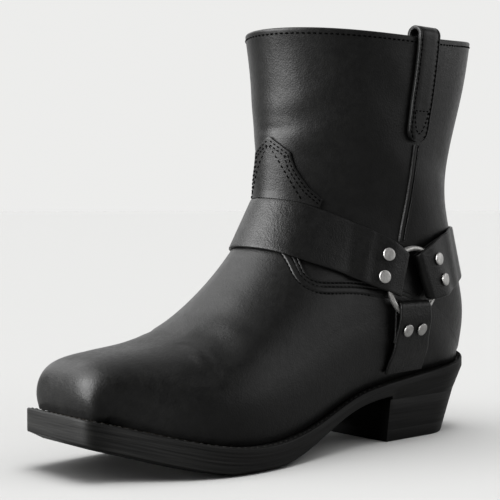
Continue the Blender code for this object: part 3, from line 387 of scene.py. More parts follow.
def run_length(line):
    """Distances along a line of points from its first."""
    return np.concatenate([[0], np.cumsum(np.linalg.norm(np.diff(line, axis=0), axis=1))])


def read_line(line, run, at):
    """Points of a line at distances along it."""
    return np.column_stack([np.interp(at, run, column) for column in line.T])


def left_of(line):
    """Unit vectors to the left of a line of 2-D points."""
    along = np.gradient(line, axis=0)
    return unit(np.column_stack([-along[:, 1], along[:, 0]]))


def turns_of(count):
    """Angles of evenly spaced points round a circle."""
    return np.linspace(0, 2 * math.pi, count + 1)[:-1]


def band_profile(shares, heights):
    """Shares across a band and signed heights, out along its outer face and back underneath."""
    shares = np.concatenate([shares, 1 - np.array(shares)[::-1]])
    heights = np.concatenate([heights, heights[::-1]])
    return np.concatenate([shares, shares[::-1]]), np.concatenate([heights, -heights])


def sole_at(u):
    """The sole table's rows at u, without u itself, with the flat tread on the floor."""
    rows = spline([row.u for row in SOLE], [row[1:] for row in SOLE], u)
    rows[:, 1] = np.maximum(rows[:, 1], 0.0)
    return rows


def heel_point(outline, run):
    """Outer and inner (u, v) of an outline at a run from the back of the heel."""
    depth = outline.heel_u - outline.back_u
    angle = np.clip(np.asarray(run, float) / depth, 0, math.pi / 2)
    u = outline.back_u + depth * (1 - np.cos(angle))
    u = u + np.maximum(run - depth * math.pi / 2, 0)
    rows = sole_at(u)
    outer, inner = rows[:, outline.outer] * np.sin(angle), rows[:, outline.inner] * np.sin(angle)
    return np.column_stack([u, outer]), np.column_stack([u, -inner])


# The upper as a function of station (row of SECTIONS) and turn (0 inner edge, 0.5 ridge, 1 outer)

def half_section(low_v, wide_v, ridge_v, widest, crown, under):
    """(v, share of height) along one side of a section, from its lower end to the ridge."""
    start = 1 - math.sqrt(1 - min(abs(low_v / wide_v), 1.0) ** under)
    share = start + (1 - start) * (1 - np.cos(np.linspace(0, math.pi / 2, ARC_SAMPLES)))
    low = np.column_stack([
        wide_v * (1 - (1 - share) ** 2) ** (1 / under),
        widest * (share - start) / (1 - start),
    ])
    angle = np.linspace(0, math.pi / 2, ARC_SAMPLES)[1:]
    high = np.column_stack([
        ridge_v + (wide_v - ridge_v) * np.clip(np.cos(angle), 0, 1) ** (2 / crown),
        widest + (1 - widest) * np.sin(angle) ** (2 / crown),
    ])
    return np.concatenate([low, high])


def eased(distance):
    """A stretched distance from the heel, in which the lower ends slow down as they pass it."""
    size = abs(distance)
    return math.copysign((size + math.sqrt(size**2 + 4 * HEEL_EASE * size)) / 2, distance)


def lower_end(walk):
    """A section's lower end at an eased distance: (u, z) and the half widths there."""
    distance = walk**2 / (abs(walk) + HEEL_EASE)
    if walk >= 0:
        outer, inner = heel_point(UPPER_LINE, np.array([distance]))
        u, outer_v, inner_v = outer[0, 0], outer[0, 1], inner[0, 1]
        return u, sole_at(u)[0, 0] + SEAT_GAP, outer_v, inner_v
    seat_z = sole_at(UPPER_LINE.back_u)[0, 0] + SEAT_GAP
    z = seat_z + distance
    u = spline([row.z for row in BACK], [row.u for row in BACK], z)[0, 0]
    return u, z, 0.0, 0.0


def section_points(values, turns):
    """Points of the upper's outer face at one station, from that station's table values."""
    top_u, top_z, ridge_v, walk, outer, inner, widest, crown, under = values
    low_u, low_z, outer_low, inner_low = lower_end(walk)
    low, rise = np.array([low_u, low_z]), np.array([top_u - low_u, top_z - low_z])
    points = np.empty((len(turns), 3))
    for pick, share, low_v, wide_v in (
        (turns >= 0.5, 2 * (1 - turns), outer_low, outer),
        (turns < 0.5, 2 * turns, inner_low, -inner),
    ):
        arc = half_section(low_v, wide_v, ridge_v, widest, crown, under)
        curve = np.column_stack([low + arc[:, 1:] * rise, arc[:, 0]])[:, [0, 2, 1]]
        length = run_length(curve)
        points[pick] = read_line(curve, length, share[pick] * length[-1])
    return points


class UpperFace:
    """The upper's outer face, worked out once on a fine grid and read between its points."""

    def __init__(self):
        stations = np.linspace(0, COLLAR, COLLAR * FACE_PER_SECTION + 1)
        rows = [row._replace(low=eased(row.low))[1:] for row in SECTIONS]
        values = spline(range(len(SECTIONS)), rows, stations)
        turns = np.linspace(0, 1, FACE_TURNS + 1)
        self.grid = np.array([section_points(row, turns) for row in values])

    def at(self, station, turn):
        """Points at matching arrays of stations and turns."""
        station, turn = np.broadcast_arrays(np.asarray(station, float), np.asarray(turn, float))
        x, y = station * FACE_PER_SECTION, turn * FACE_TURNS
        i = np.clip(x.astype(int), 0, self.grid.shape[0] - 2)
        j = np.clip(y.astype(int), 0, self.grid.shape[1] - 2)
        p, q = (x - i)[..., None], (y - j)[..., None]
        near = self.grid[i, j] * (1 - q) + self.grid[i, j + 1] * q
        far = self.grid[i + 1, j] * (1 - q) + self.grid[i + 1, j + 1] * q
        return near * (1 - p) + far * p

    def frame(self, station, turn):
        """Points, outward normals and millimetres per station at matching stations and turns."""
        points = self.at(station, turn)
        up = self.at(station + STATION_NUDGE, turn) - self.at(station - STATION_NUDGE, turn)
        around = self.at(station, turn + TURN_NUDGE) - self.at(station, turn - TURN_NUDGE)
        scale = np.linalg.norm(up, axis=-1) / (2 * STATION_NUDGE)
        return points, unit(np.cross(around, up)), scale


def vamp_edge(turn):
    """Station and step of the vamp's edge at a turn, the inner half mirroring the outer."""
    turn = np.asarray(turn, float)
    known = np.array(VAMP_EDGE)
    values = spline(known[:, 0], known[:, 1:], 0.5 + np.abs(turn.ravel() - 0.5))
    station, step = (column.reshape(turn.shape) for column in values.T)
    return station, np.clip(step, 0, EDGE_STEP)


def edge_distance(face, stations, turns):
    """Distance of points on the face from the vamp's edge; each column of stations has one turn."""
    line_turns = np.linspace(0, 1, EDGE_SAMPLES)
    line = face.at(vamp_edge(line_turns)[0], line_turns)
    points = face.at(stations, np.broadcast_to(turns, stations.shape))
    away = np.empty(stations.shape)
    for k, turn in enumerate(turns):
        near = line[np.abs(line_turns - turn) < EDGE_REACH]
        away[:, k] = np.linalg.norm(points[:, k, None] - near[None], axis=2).min(axis=1)
    return away


def collar_station(station, turn):
    """Stations lowered towards the sides of the collar, whose edge dips there."""
    share = np.clip((station - HEEL_SEAT) / (COLLAR - HEEL_SEAT), 0, 1)
    return station - COLLAR_DIP * share**3 * np.sin(2 * math.pi * turn) ** 2


def surface_mesh(grid):
    """A mesh of a grid of points, and its vertices in the grid's order."""
    rows, columns = grid.shape[:2]
    shape = bmesh.new()
    verts = [shape.verts.new(point) for point in grid.reshape(-1, 3)]
    for quad in grid_faces(rows, columns):
        shape.faces.new([verts[k] for k in quad])
    shape.normal_update()
    return shape, verts


def point_normals(grid):
    """Outward normals of a grid of points on the upper, joined where its two edges meet."""
    shape, verts = surface_mesh(grid)
    normals = np.array([v.normal for v in verts]).reshape(grid.shape)
    shape.free()
    closed = np.linalg.norm(grid[:, 0] - grid[:, -1], axis=1) < MEET_WITHIN
    normals[closed, 0] = normals[closed, -1] = normals[closed, 0] + normals[closed, -1]
    normals = unit(normals)
    middle = grid[-1].mean(axis=0)
    return normals * np.sign(np.sum(normals[-1] * (grid[-1] - middle)))


def seam_heights(down):
    """Height of the vamp's seam at distances below its edge: grooves for its rows of stitches."""
    rows = np.array(VAMP_STITCH_ROWS)
    grooves = np.exp(-((down[..., None] - rows) / SEAM_WIDTH) ** 2).sum(axis=-1)
    middle, half = (rows[-1] + rows[-2]) / 2, (rows[-1] - rows[-2]) / 2
    return SEAM_PUFF * np.exp(-((down - middle) / half) ** 4) - SEAM_DEPTH * grooves


def upper_rows(face, turn_steps, foot_steps, seam_steps, shaft_steps):
    """Grids of the upper: the base face with its normals, and the outer face with its step.

    Rows bend to follow the vamp's edge, whose lip is rounded, and are close together where its
    seam runs. The outer face has one row more; the last value counts its rows up to the edge.
    """
    turns = np.linspace(0, 1, turn_steps + 1)
    edge, step = vamp_edge(turns)
    far = np.linspace(0, 1, foot_steps + 1) ** TOE_CROWDING * SEAM_START
    near = np.linspace(SEAM_START, LIP_START, seam_steps + 1)[1:]
    lip = LIP_START + (1 - LIP_START) * np.array(LIP_SHARES)
    share = np.concatenate([far, near, lip])[:, None]
    foot = ROW_STATIONS * share + (edge - ROW_STATIONS) * share**EDGE_PULL
    shaft = edge + (COLLAR - edge) * np.linspace(0, 1, shaft_steps + 1)[1:, None]
    stations = np.concatenate([foot, shaft])
    base = face.at(collar_station(stations, turns), np.broadcast_to(turns, stations.shape))
    normals = point_normals(base)
    on_lip = np.clip((share - LIP_START) / (1 - LIP_START), 0, 1)
    faded = np.clip((share - STEP_FADE) / (1 - STEP_FADE), 0, 1) ** 0.5
    raised = step * faded * np.sqrt(1 - LIP_ROUNDING * on_lip**2)
    count, first = len(share), len(far)
    raised[first:] += seam_heights(edge_distance(face, foot[first:], turns)) * step / EDGE_STEP
    outer = np.concatenate([base[:count] + normals[:count] * raised[:, :, None], base[count - 1:]])
    return base, normals, outer, count


# Places on the upper, found by casting

class Skin:
    """The upper's outer face, with or without its step, as a tree to cast against."""

    def __init__(self, face, stepped=True):
        shape, _ = surface_mesh(upper_rows(face, *SKIN_STEPS)[2 if stepped else 0])
        self.tree = BVHTree.FromBMesh(shape)
        shape.free()

    def cast(self, start, heading):
        """Point and outward normal where a ray first meets the upper."""
        place, normal, _, _ = self.tree.ray_cast(Vector(start), Vector(heading))
        if place is None:
            return None, None
        normal = np.array(normal)
        return np.array(place), -normal * np.sign(normal @ heading)

    def leg(self, angle, z):
        """At an angle about the leg, 0 in front and 90 on the outer side, and a height."""
        turn = math.radians(angle)
        away = np.array([math.cos(turn), math.sin(turn), 0.0])
        return self.cast(np.array([LEG_U, 0.0, z]) + CAST_FROM_SIDE * away, -away)

    def top(self, u, v):
        """Below a place seen from above."""
        return self.cast((u, v, CAST_FROM_ABOVE), np.array([0.0, 0.0, -1.0]))


# Meshes

def world(points):
    """(u, v, z) in millimetres as world points in metres."""
    points = np.asarray(points, float).reshape(-1, 3)
    return np.column_stack([points[:, 1] - CENTRE_V, CENTRE_U - points[:, 0], points[:, 2]]) * MM


def grid_faces(rows, columns, first=0, wrap=False, ring=False):
    """Quads of a grid of points; wrap joins its last column to the first, ring its last row."""
    faces = []
    for i in range(rows if ring else rows - 1):
        a, b = first + i * columns, first + (i + 1) % rows * columns
        for j in range(columns if wrap else columns - 1):
            k = (j + 1) % columns
            faces.append((a + j, a + k, b + k, b + j))
    return faces


def add_piece(
    name, points, faces, materials, nodes=(), sharp=SHARP_DEG, uvs=None, second=None,
):
    """A piece of the boot that rides on it and stands for some CAD nodes.

    Faces marked in second take the second material.
    """
    mesh = bpy.data.meshes.new(name)
    mesh.from_pydata(world(points).tolist(), [], faces)
    for material in materials:
        mesh.materials.append(material)
    if second is not None:
        mesh.polygons.foreach_set("material_index", np.asarray(second, np.int32))
    if uvs is not None:
        corners = np.empty(len(mesh.loops), np.int32)
        mesh.loops.foreach_get("vertex_index", corners)
        layer = mesh.uv_layers.new(name="run_and_height")
        layer.data.foreach_set("uv", np.asarray(uvs, np.float32)[corners].ravel())
    shape = bmesh.new()
    shape.from_mesh(mesh)
    bmesh.ops.remove_doubles(shape, verts=shape.verts, dist=WELD_WITHIN * MM)
    bmesh.ops.dissolve_degenerate(shape, edges=shape.edges, dist=SLIVER_WITHIN * MM)
    bmesh.ops.recalc_face_normals(shape, faces=shape.faces)
    shape.to_mesh(mesh)
    shape.free()
    mesh.shade_smooth()
    mesh.set_sharp_from_angle(angle=math.radians(sharp))
    obj = place_object(name, mesh)
    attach(obj, "root")
    if nodes:
        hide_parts(*nodes)
    return obj


def sweep(name, sections, materials, nodes, closed=False):
    """A solid through sections of equal point count, with its ends capped or joined."""
    sections = np.asarray(sections, float)
    count, corners = sections.shape[:2]
    faces = grid_faces(count, corners, wrap=True, ring=closed)
    if not closed:
        faces.append(tuple(range(corners)))
        faces.append(tuple((count - 1) * corners + j for j in range(corners)))
    return add_piece(name, sections, faces, materials, nodes)


# Upper

def crease_heights(points, skin):
    """Height to add to each point for the creases and the leather's slight unevenness."""
    flat = points.reshape(-1, 3)
    height = np.full(len(flat), UNEVEN)
    for axis, (wave, shift) in enumerate(UNEVEN_WAVES):
        height *= np.sin(flat[:, axis] / wave + shift)
    share = np.linspace(0, 1, CREASE_SAMPLES)
    for crease in CREASES:
        knots = np.array([getattr(skin, crease.seen)(*place)[0] for place in crease.places])
        line = spline(range(len(knots)), knots, share * (len(knots) - 1))
        reach = CREASE_REACH * crease.width
        inside = (flat > line.min(axis=0) - reach) & (flat < line.max(axis=0) + reach)
        near = np.flatnonzero(inside.all(axis=1))
        gaps = np.linalg.norm(flat[near, None] - line[None], axis=2)
        best = gaps.argmin(axis=1)
        away = gaps[np.arange(len(near)), best] / crease.width
        rim = RIM_HEIGHT * np.exp(-((away - RIM_AWAY) / RIM_WIDTH) ** 2)
        along = np.sin(math.pi * share[best]) ** CREASE_TAPER
        height[near] -= crease.depth * along * (np.exp(-away**2) - rim)
    return height.reshape(points.shape[:-1])


def make_upper(face, skin, materials):
    """The hollow upper: stepped and creased outside, plain inside, with a rounded collar edge."""
    base, normals, outer, count = upper_rows(face, *UPPER_STEPS)
    outer_normals = np.concatenate([normals[:count], normals[count - 1:]])
    fade = np.ones(len(outer))
    fade[-len(COLLAR_FADE):] = COLLAR_FADE
    outer = outer + outer_normals * (crease_heights(outer, skin) * fade[:, None])[:, :, None]
    inner = base - normals * WALL
    radius = WALL / 2
    away, up = normals[-1] * radius, unit(base[-1] - base[-2]) * radius
    middle = base[-1] - away - up
    turns = np.linspace(0, math.pi, RIM_STEPS + 1)
    rim = [middle + away * math.cos(turn) + up * math.sin(turn) for turn in turns]
    outer[-1], inner[-1] = rim[0], rim[-1]
    points = np.concatenate([outer, rim[1:-1], inner[::-1]])
    rows, columns = points.shape[:2]
    faces = grid_faces(rows, columns, ring=True)
    for i in range(count - 1):
        outside, inside = i * columns, (rows - 1 - i) * columns
        for j in (0, columns - 1):
            faces.append((outside + j, outside + columns + j, inside - columns + j, inside + j))
    lined = np.arange(len(faces)) >= (len(outer) + RIM_STEPS // 2) * (columns - 1)
    add_piece(
        "upper_leather", points, faces, materials, ["upper"],
        sharp=UPPER_SHARP_DEG, second=lined,
    )


# Sole

def inset_loop(loop, inset):
    """A closed loop of plan points, moved inwards."""
    along = np.roll(loop, -1, axis=0) - np.roll(loop, 1, axis=0)
    inward = unit(np.column_stack([along[:, 1], -along[:, 0]]))
    inward *= np.sign(np.sum(inward * (loop.mean(axis=0) - loop)))
    return loop + inward * inset


def rounded(loop):
    """A closed loop with its corners softened: each point is a mean over a stretch of the loop."""
    three = np.concatenate([loop, loop, loop, loop[:1]])
    run = run_length(three)
    here = run[len(loop):2 * len(loop)]
    offsets = np.linspace(-CORNER_REACH, CORNER_REACH, CORNER_SAMPLES)
    weights = 1 - np.abs(offsets) / CORNER_REACH
    moved = np.array([read_line(three, run, here + step) for step in offsets])
    return np.einsum("s,spk->pk", weights / weights.sum(), moved)


def outline_loop(outline, inset=0.0):
    """An outline from the heel's back along the outer side, round the toe and along the inner."""
    depth = outline.heel_u - outline.back_u
    arc = depth * math.pi / 2
    runs = np.concatenate([
        np.linspace(0, arc, HEEL_STEPS + 1)[:-1],
        np.linspace(arc, arc + outline.toe_u - outline.heel_u, SIDE_STEPS + 1),
    ])
    sides = heel_point(outline, runs)
    angle = np.linspace(0, math.pi / 2, TOE_STEPS + 1)[1:]
    forward = (outline.front_u - outline.toe_u) * np.sin(angle) ** (2 / outline.square)
    across = np.clip(np.cos(angle), 0, 1) ** (2 / outline.square)
    outer, inner = (
        np.concatenate([side, np.column_stack([
            outline.toe_u + forward,
            outline.toe_v + (side[-1, 1] - outline.toe_v) * across,
        ])])
        for side in sides
    )
    return inset_loop(rounded(np.concatenate([outer, inner[-2:0:-1]])), inset)


def cap_faces(size, first):
    """Faces across a ring of points that runs out along one side and back along the other."""
    faces = []
    for i in range(size // 2):
        quad = (i, i + 1, (size - i - 1) % size, (size - i) % size)
        faces.append(tuple(first + k for k in dict.fromkeys(quad)))
    return [face for face in faces if len(face) > 2]


def ring_solid(name, rings, materials, nodes, guide=None):
    """A solid of stacked rings: capped at both ends, or a tube if it has a guide line.

    Its streaks run along the guide, or else along the first ring at the last one's height.
    """
    rings = np.asarray(rings, float)
    count, size = rings.shape[:2]
    faces = grid_faces(count, size, wrap=True, ring=guide is not None)
    if guide is None:
        faces += cap_faces(size, 0) + cap_faces(size, (count - 1) * size)
        guide = np.column_stack([rings[0, :, :2], rings[-1, :, 2]])
    run = run_length(guide[:, :2]) * MM
    rise = (rings[:, :, 2] - guide[:, 2]) * MM
    uvs = np.stack([np.broadcast_to(run, rise.shape), rise], axis=2)
    return add_piece(name, rings, faces, materials, nodes, uvs=uvs.reshape(-1, 2))


def heel_point_at(points, share):
    """Points of the sole's edge moved to a share of the heel's height, 0 being the floor."""
    drop = 1 - share
    back, breast = HEEL_BACK_SLOPE * drop, HEEL_BREAST_U + HEEL_BREAST_SLOPE * drop
    u = back + points[:, 0] * (breast - back) / HEEL_BREAST_U
    v = points[:, 1] * (1 - HEEL_SIDE_TAPER * drop / SOLE[1].edge_outer)
    return np.column_stack([u, v])


def make_outsole(materials):
    """The tread, with rounded edges, and the wedge over the heel block."""
    edge = outline_loop(SOLE_EDGE)
    over_heel = edge[:, 0] < HEEL_BREAST_U
    on_heel = heel_point_at(edge, HEEL_SPLIT_Z / HEEL_RIM_Z)
    top_z = sole_at(edge[:, 0])[:, 0] - WELT_THICKNESS - JOINT_LINE
    low = np.where(over_heel[:, None], on_heel, edge)
    low_z = np.where(over_heel, HEEL_SPLIT_Z, sole_at(edge[:, 0])[:, 1] + TREAD_RISE)
    sharp = np.where(over_heel, HEEL_JOINT, 1.0)
    tread = outline_loop(SOLE_EDGE, TREAD_INSET)
    tread = np.where(over_heel[:, None], inset_loop(on_heel, TREAD_INSET / 2), tread)
    tread_z = np.where(over_heel, HEEL_SPLIT_Z, sole_at(tread[:, 0])[:, 1])
    rings = [np.column_stack([tread, tread_z])]
    for inset, share, lift in OUTSOLE_RINGS:
        plan = inset_loop(low + (edge - low) * share, (inset * sharp)[:, None])
        rings.append(np.column_stack([plan, low_z + (top_z - low_z) * share + lift * sharp]))
    ring_solid("outsole_rubber", rings, materials, ["outsole"])


def heel_cup(u):
    """How far the rim of the heel seat turns up at its outer edge."""
    return HEEL_CUP_RISE * np.clip((HEEL_CUP_END - u) / HEEL_CUP_END, 0, 1) ** HEEL_CUP_CURVE


def on_welt(inset):
    """Plan of a line on the welt at an inset from its edge, and its share of the welt's width."""
    edge, seat = outline_loop(SOLE_EDGE), outline_loop(UPPER_LINE, -WELT_CLEAR)
    share = np.clip(inset / np.linalg.norm(edge - seat, axis=1), 0, 1)
    return edge + (seat - edge) * share[:, None], share


def make_welt(materials):
    """The welt: a flat band round the upper, with a rounded outer edge and a stitched groove."""
    edge, seat = outline_loop(SOLE_EDGE), outline_loop(UPPER_LINE, -WELT_CLEAR)
    inside = outline_loop(UPPER_LINE, WELT_UNDER_WALL)
    edge_z, seat_z, in_z = (sole_at(loop[:, 0])[:, 0] for loop in (edge, seat, inside))
    rim_z = edge_z + heel_cup(edge[:, 0])
    rings = [
        np.column_stack([inside, in_z - WELT_THICKNESS]),
        np.column_stack([edge, edge_z - WELT_THICKNESS]),
    ]
    for inset, drop in WELT_RIM:
        rings.append(np.column_stack([inset_loop(edge, inset), rim_z - drop]))
    for inset, drop in WELT_TOP:
        plan, share = on_welt(inset)
        rings.append(np.column_stack([plan, rim_z + (seat_z - rim_z) * share - drop]))
    rings += [np.column_stack([seat, seat_z]), np.column_stack([inside, in_z])]
    guide = np.column_stack([edge, edge_z])
    ring_solid("welt_band", rings, materials, ["welt"], guide)


def make_heel(materials):
    """The heel block, its edges rounded, with faint grooves between its lifts, and painted shade on
    its breast.
    """
    edge = outline_loop(SOLE_EDGE)
    half = len(edge) // 2 + 1
    outer, inner = edge[:half], np.concatenate([edge[:1], edge[:half - 2:-1]])
    stations = np.append(outer[outer[:, 0] < HEEL_BREAST_U - BREAST_MARGIN, 0], HEEL_BREAST_U)
    sides = [np.column_stack([stations, np.interp(stations, *side.T)]) for side in (outer, inner)]
    loop = np.concatenate([sides[0], sides[1][:0:-1]])
    rings = []
    for inset, z in HEEL_RINGS:
        plan = inset_loop(heel_point_at(loop, z / HEEL_RIM_Z), inset)
        rings.append(np.column_stack([plan, np.full(len(plan), z)]))
    heel = ring_solid("heel_stack", rings, materials, ["heel_block"])
    # Faces turned towards the toe take the second material, darker and duller: painted shade on the
    # heel breast.
    for face in heel.data.polygons:
        face.material_index = int(face.normal.y < BREAST_NORMAL_Y)


def make_insole(materials):
    """The insole inside the upper, its top edge rounded."""
    rings = []
    for inset, lift in INSOLE_RINGS:
        plan = outline_loop(UPPER_LINE, INSOLE_INSET + inset)
        rings.append(np.column_stack([plan, sole_at(plan[:, 0])[:, 0] + lift]))
    ring_solid("insole_board", rings, materials, ["insole"])


# Harness

class Strap:
    """A band on the upper, lifted over its rings, as edges and normals along its length."""

    def __init__(self, skin, plain, rows, sides):
        self.skin, self.plain, self.sides = skin, plain, sides
        self.double = len(sides) == 2
        self.length = rows[-1].along
        self.table = np.array(rows, float)
        if self.double:
            self.length *= 2
            turn = 360.0 if rows[-1].top_angle > 90 else 0.0
            mirrored = self.table[-2::-1] * (-1, -1, 1, -1, 1) + (self.length, turn, 0, turn, 0)
            self.table = np.concatenate([self.table, mirrored])
        count = round(self.length / STRAP_FRAME_STEP)
        self.knots = np.linspace(self.table[0, 0], self.table[-1, 0], count + 1)
        frames = np.array([np.concatenate(self.rest(along)) for along in self.knots])
        near = np.pad(frames, ((2, 2), (0, 0)), mode="edge")
        self.frames = sum(w * near[k:k + len(frames)] for k, w in enumerate(FRAME_WEIGHTS))

    def reach(self, along):
        """Distance from the nearest ring's centre."""
        return np.minimum(along, self.length - along) if self.double else along

    def rest(self, along):
        """The band's two edges and its outward normal, lying on the upper or on its ring."""
        top_angle, top_z, low_angle, low_z = spline(self.table[:, 0], self.table[:, 1:], along)[0]
        side = self.sides[-1] if along > self.length / 2 else self.sides[0]
        top, top_normal = self.plain.leg(self.sides[0] * top_angle, top_z)
        low, low_normal = self.plain.leg(self.sides[0] * low_angle, low_z)
        normal = unit(top_normal + low_normal)
        swell = 0.0
        for share in np.linspace(0.0, 1.0, SWELL_SAMPLES):
            chord = top + (low - top) * share
            place, _ = self.skin.cast(chord + SWELL_REACH * normal, -normal)
            if place is not None:
                swell = max(swell, float((place - chord) @ normal))
        top, low = top + normal * (swell + STRAP_GAP), low + normal * (swell + STRAP_GAP)
        near = 1 - ease((self.reach(along) - PLANE_END) / (UPPER_START - PLANE_END))
        for point in (top, low):
            point[1] += near * (side * (RING_PLANE[side] + GAP) - point[1])
        return top, low, unit(near * np.array([0.0, side, 0.0]) + (1 - near) * normal)

    def frame(self, along):
        """Top edge, low edge and normal at an array of distances."""
        values = spline(self.knots, self.frames, along)
        return values[:, :3], values[:, 3:6], unit(values[:, 6:])

    def leaf_height(self, along):
        """Height of the outer leaf's middle above the upper."""
        reach = self.reach(along)
        rest = STRAP_THICKNESS / 2
        on_flap = rest + STRAP_THICKNESS + GAP
        over = rest + STRAP_THICKNESS + 2 * (WIRE_RADIUS + WIRE_PLAY)
        pressed = ease((reach - LEAF_OVER_WIRE) / (LEAF_ON_FLAP - LEAF_OVER_WIRE))
        down = ease((reach - LEAF_PAST_FLAP) / (LEAF_DOWN - LEAF_PAST_FLAP))
        return over + (on_flap - over) * pressed + (rest - on_flap) * down

    def path(self, fold):
        """(along, height, inset) of the strap's middle from end to end, folds included."""
        rest = STRAP_THICKNESS / 2
        bend = rest + WIRE_RADIUS + WIRE_PLAY
        centre = fold + bend + rest
        half = [(x, rest, FLAP_INSET) for x in np.arange(FLAP_END, centre, -STRAP_STEP)]
        for turn in np.linspace(0, 1, FOLD_STEPS):
            angle = math.pi * (turn - 0.5)
            height = rest + bend + bend * math.sin(angle)
            half.append((centre - bend * math.cos(angle), height, FLAP_INSET * (1 - turn)))
        middle = self.length / 2 if self.double else self.length
        places = np.linspace(centre, middle, round((middle - centre) / STRAP_STEP) + 1)[1:]
        half += [(x, self.leaf_height(x), 0.0) for x in places]
        if self.double:
            half += [(self.length - x, height, inset) for x, height, inset in half[-2::-1]]
        return np.array(half)

    def build(self, name, fold, materials, node):
        """The strap's solid, with a folded end at each ring."""
        path = self.path(fold)
        aside = left_of(path[:, :2]) * STRAP_THICKNESS / 2
        around, signed = band_profile(EDGE_SHARES, EDGE_HEIGHTS)
        sheets = []
        for sign in (1, -1):
            top, low, normal = self.frame(path[:, 0] + sign * aside[:, 0])
            across = unit(low - top) * path[:, 2:]
            rise = normal * (path[:, 1] + sign * aside[:, 1])[:, None]
            start, stop = (top + across + rise)[:, None], (low - across + rise)[:, None]
            sheets.append(start + (stop - start) * around[:, None])
        over, under = sheets
        sections = (over + under) / 2 + (over - under) / 2 * signed[:, None]
        sweep(name, sections, materials, [node])

    def place(self, along, across):
        """Point and normal of a rivet's seat on the strap's outer face."""
        places = np.array([along - RIVET_RADIUS, along + RIVET_RADIUS, along])
        top, low, normal = self.frame(places)
        height = self.leaf_height(places) + STRAP_THICKNESS / 2
        points = top + (low - top) * across + normal * height[:, None]
        forward = unit(points[1] - points[0])
        upright = unit(normal[2] - forward * (normal[2] @ forward))
        middle = (points[0] + points[1]) / 2
        return middle + upright * max((points[2] - middle) @ upright, 0.0), upright


def make_ring(name, side, materials, node):
    """A ring of wire in its side's plane, held by the straps' folds."""
    height = side * (RING_PLANE[side] + GAP + STRAP_THICKNESS + WIRE_PLAY + WIRE_RADIUS)
    turn, around = turns_of(RING_STEPS)[:, None], turns_of(WIRE_STEPS)
    reach = RING_RADIUS + WIRE_RADIUS * np.cos(around)
    sections = np.stack([
        RING_U + reach * np.cos(turn),
        height + WIRE_RADIUS * np.sin(around) + 0 * turn,
        RING_Z + reach * np.sin(turn),
    ], axis=2)
    sweep(name, sections, materials, [node], closed=True)


def rivet_points(place, normal):
    """Rings of a domed rivet head standing on a strap."""
    side = unit(np.cross(normal, [0.0, 0.0, 1.0]))
    up = np.cross(side, normal)
    turns = turns_of(RIVET_STEPS)[:, None]
    out = (side * np.cos(turns) + up * np.sin(turns)) * RIVET_RADIUS
    return [place + normal * (RIVET_LIFT + rise) + out * share for share, rise in RIVET_PROFILE]


def make_harness(skin, plain, hide, nickel):
    """Instep and heel straps between the two rings, the stirrups, rings and rivets."""
    straps = {}
    for word, rows, fold in (
        ("instep", INSTEP_STRAP, INSTEP_FOLD),
        ("heel", HEEL_STRAP, HEEL_FOLD),
    ):
        straps[word] = Strap(skin, plain, rows, (1, -1))
        straps[word].build(f"{word}_strap_leather", fold, hide, f"{word}_strap")
    for side, word in SIDE_NAMES.items():
        stirrup = Strap(skin, plain, STIRRUP, (side,))
        stirrup.build(f"stirrup_{word}_leather", STIRRUP_FOLD, hide, f"stirrup_{word}")
        make_ring(f"ring_{word}_wire", side, nickel, f"ring_{word}")
        for number, rivet in enumerate(RIVETS, 1):
            strap = straps.get(rivet.strap, stirrup)
            along = strap.length - rivet.along if side < 0 and strap.double else rivet.along
            rings = rivet_points(*strap.place(along, rivet.across))
            node = f"rivet_{word}_{number}"
            sweep(f"{node}_head", rings, nickel, [node])


# Pull loops, side seams and tongue patch

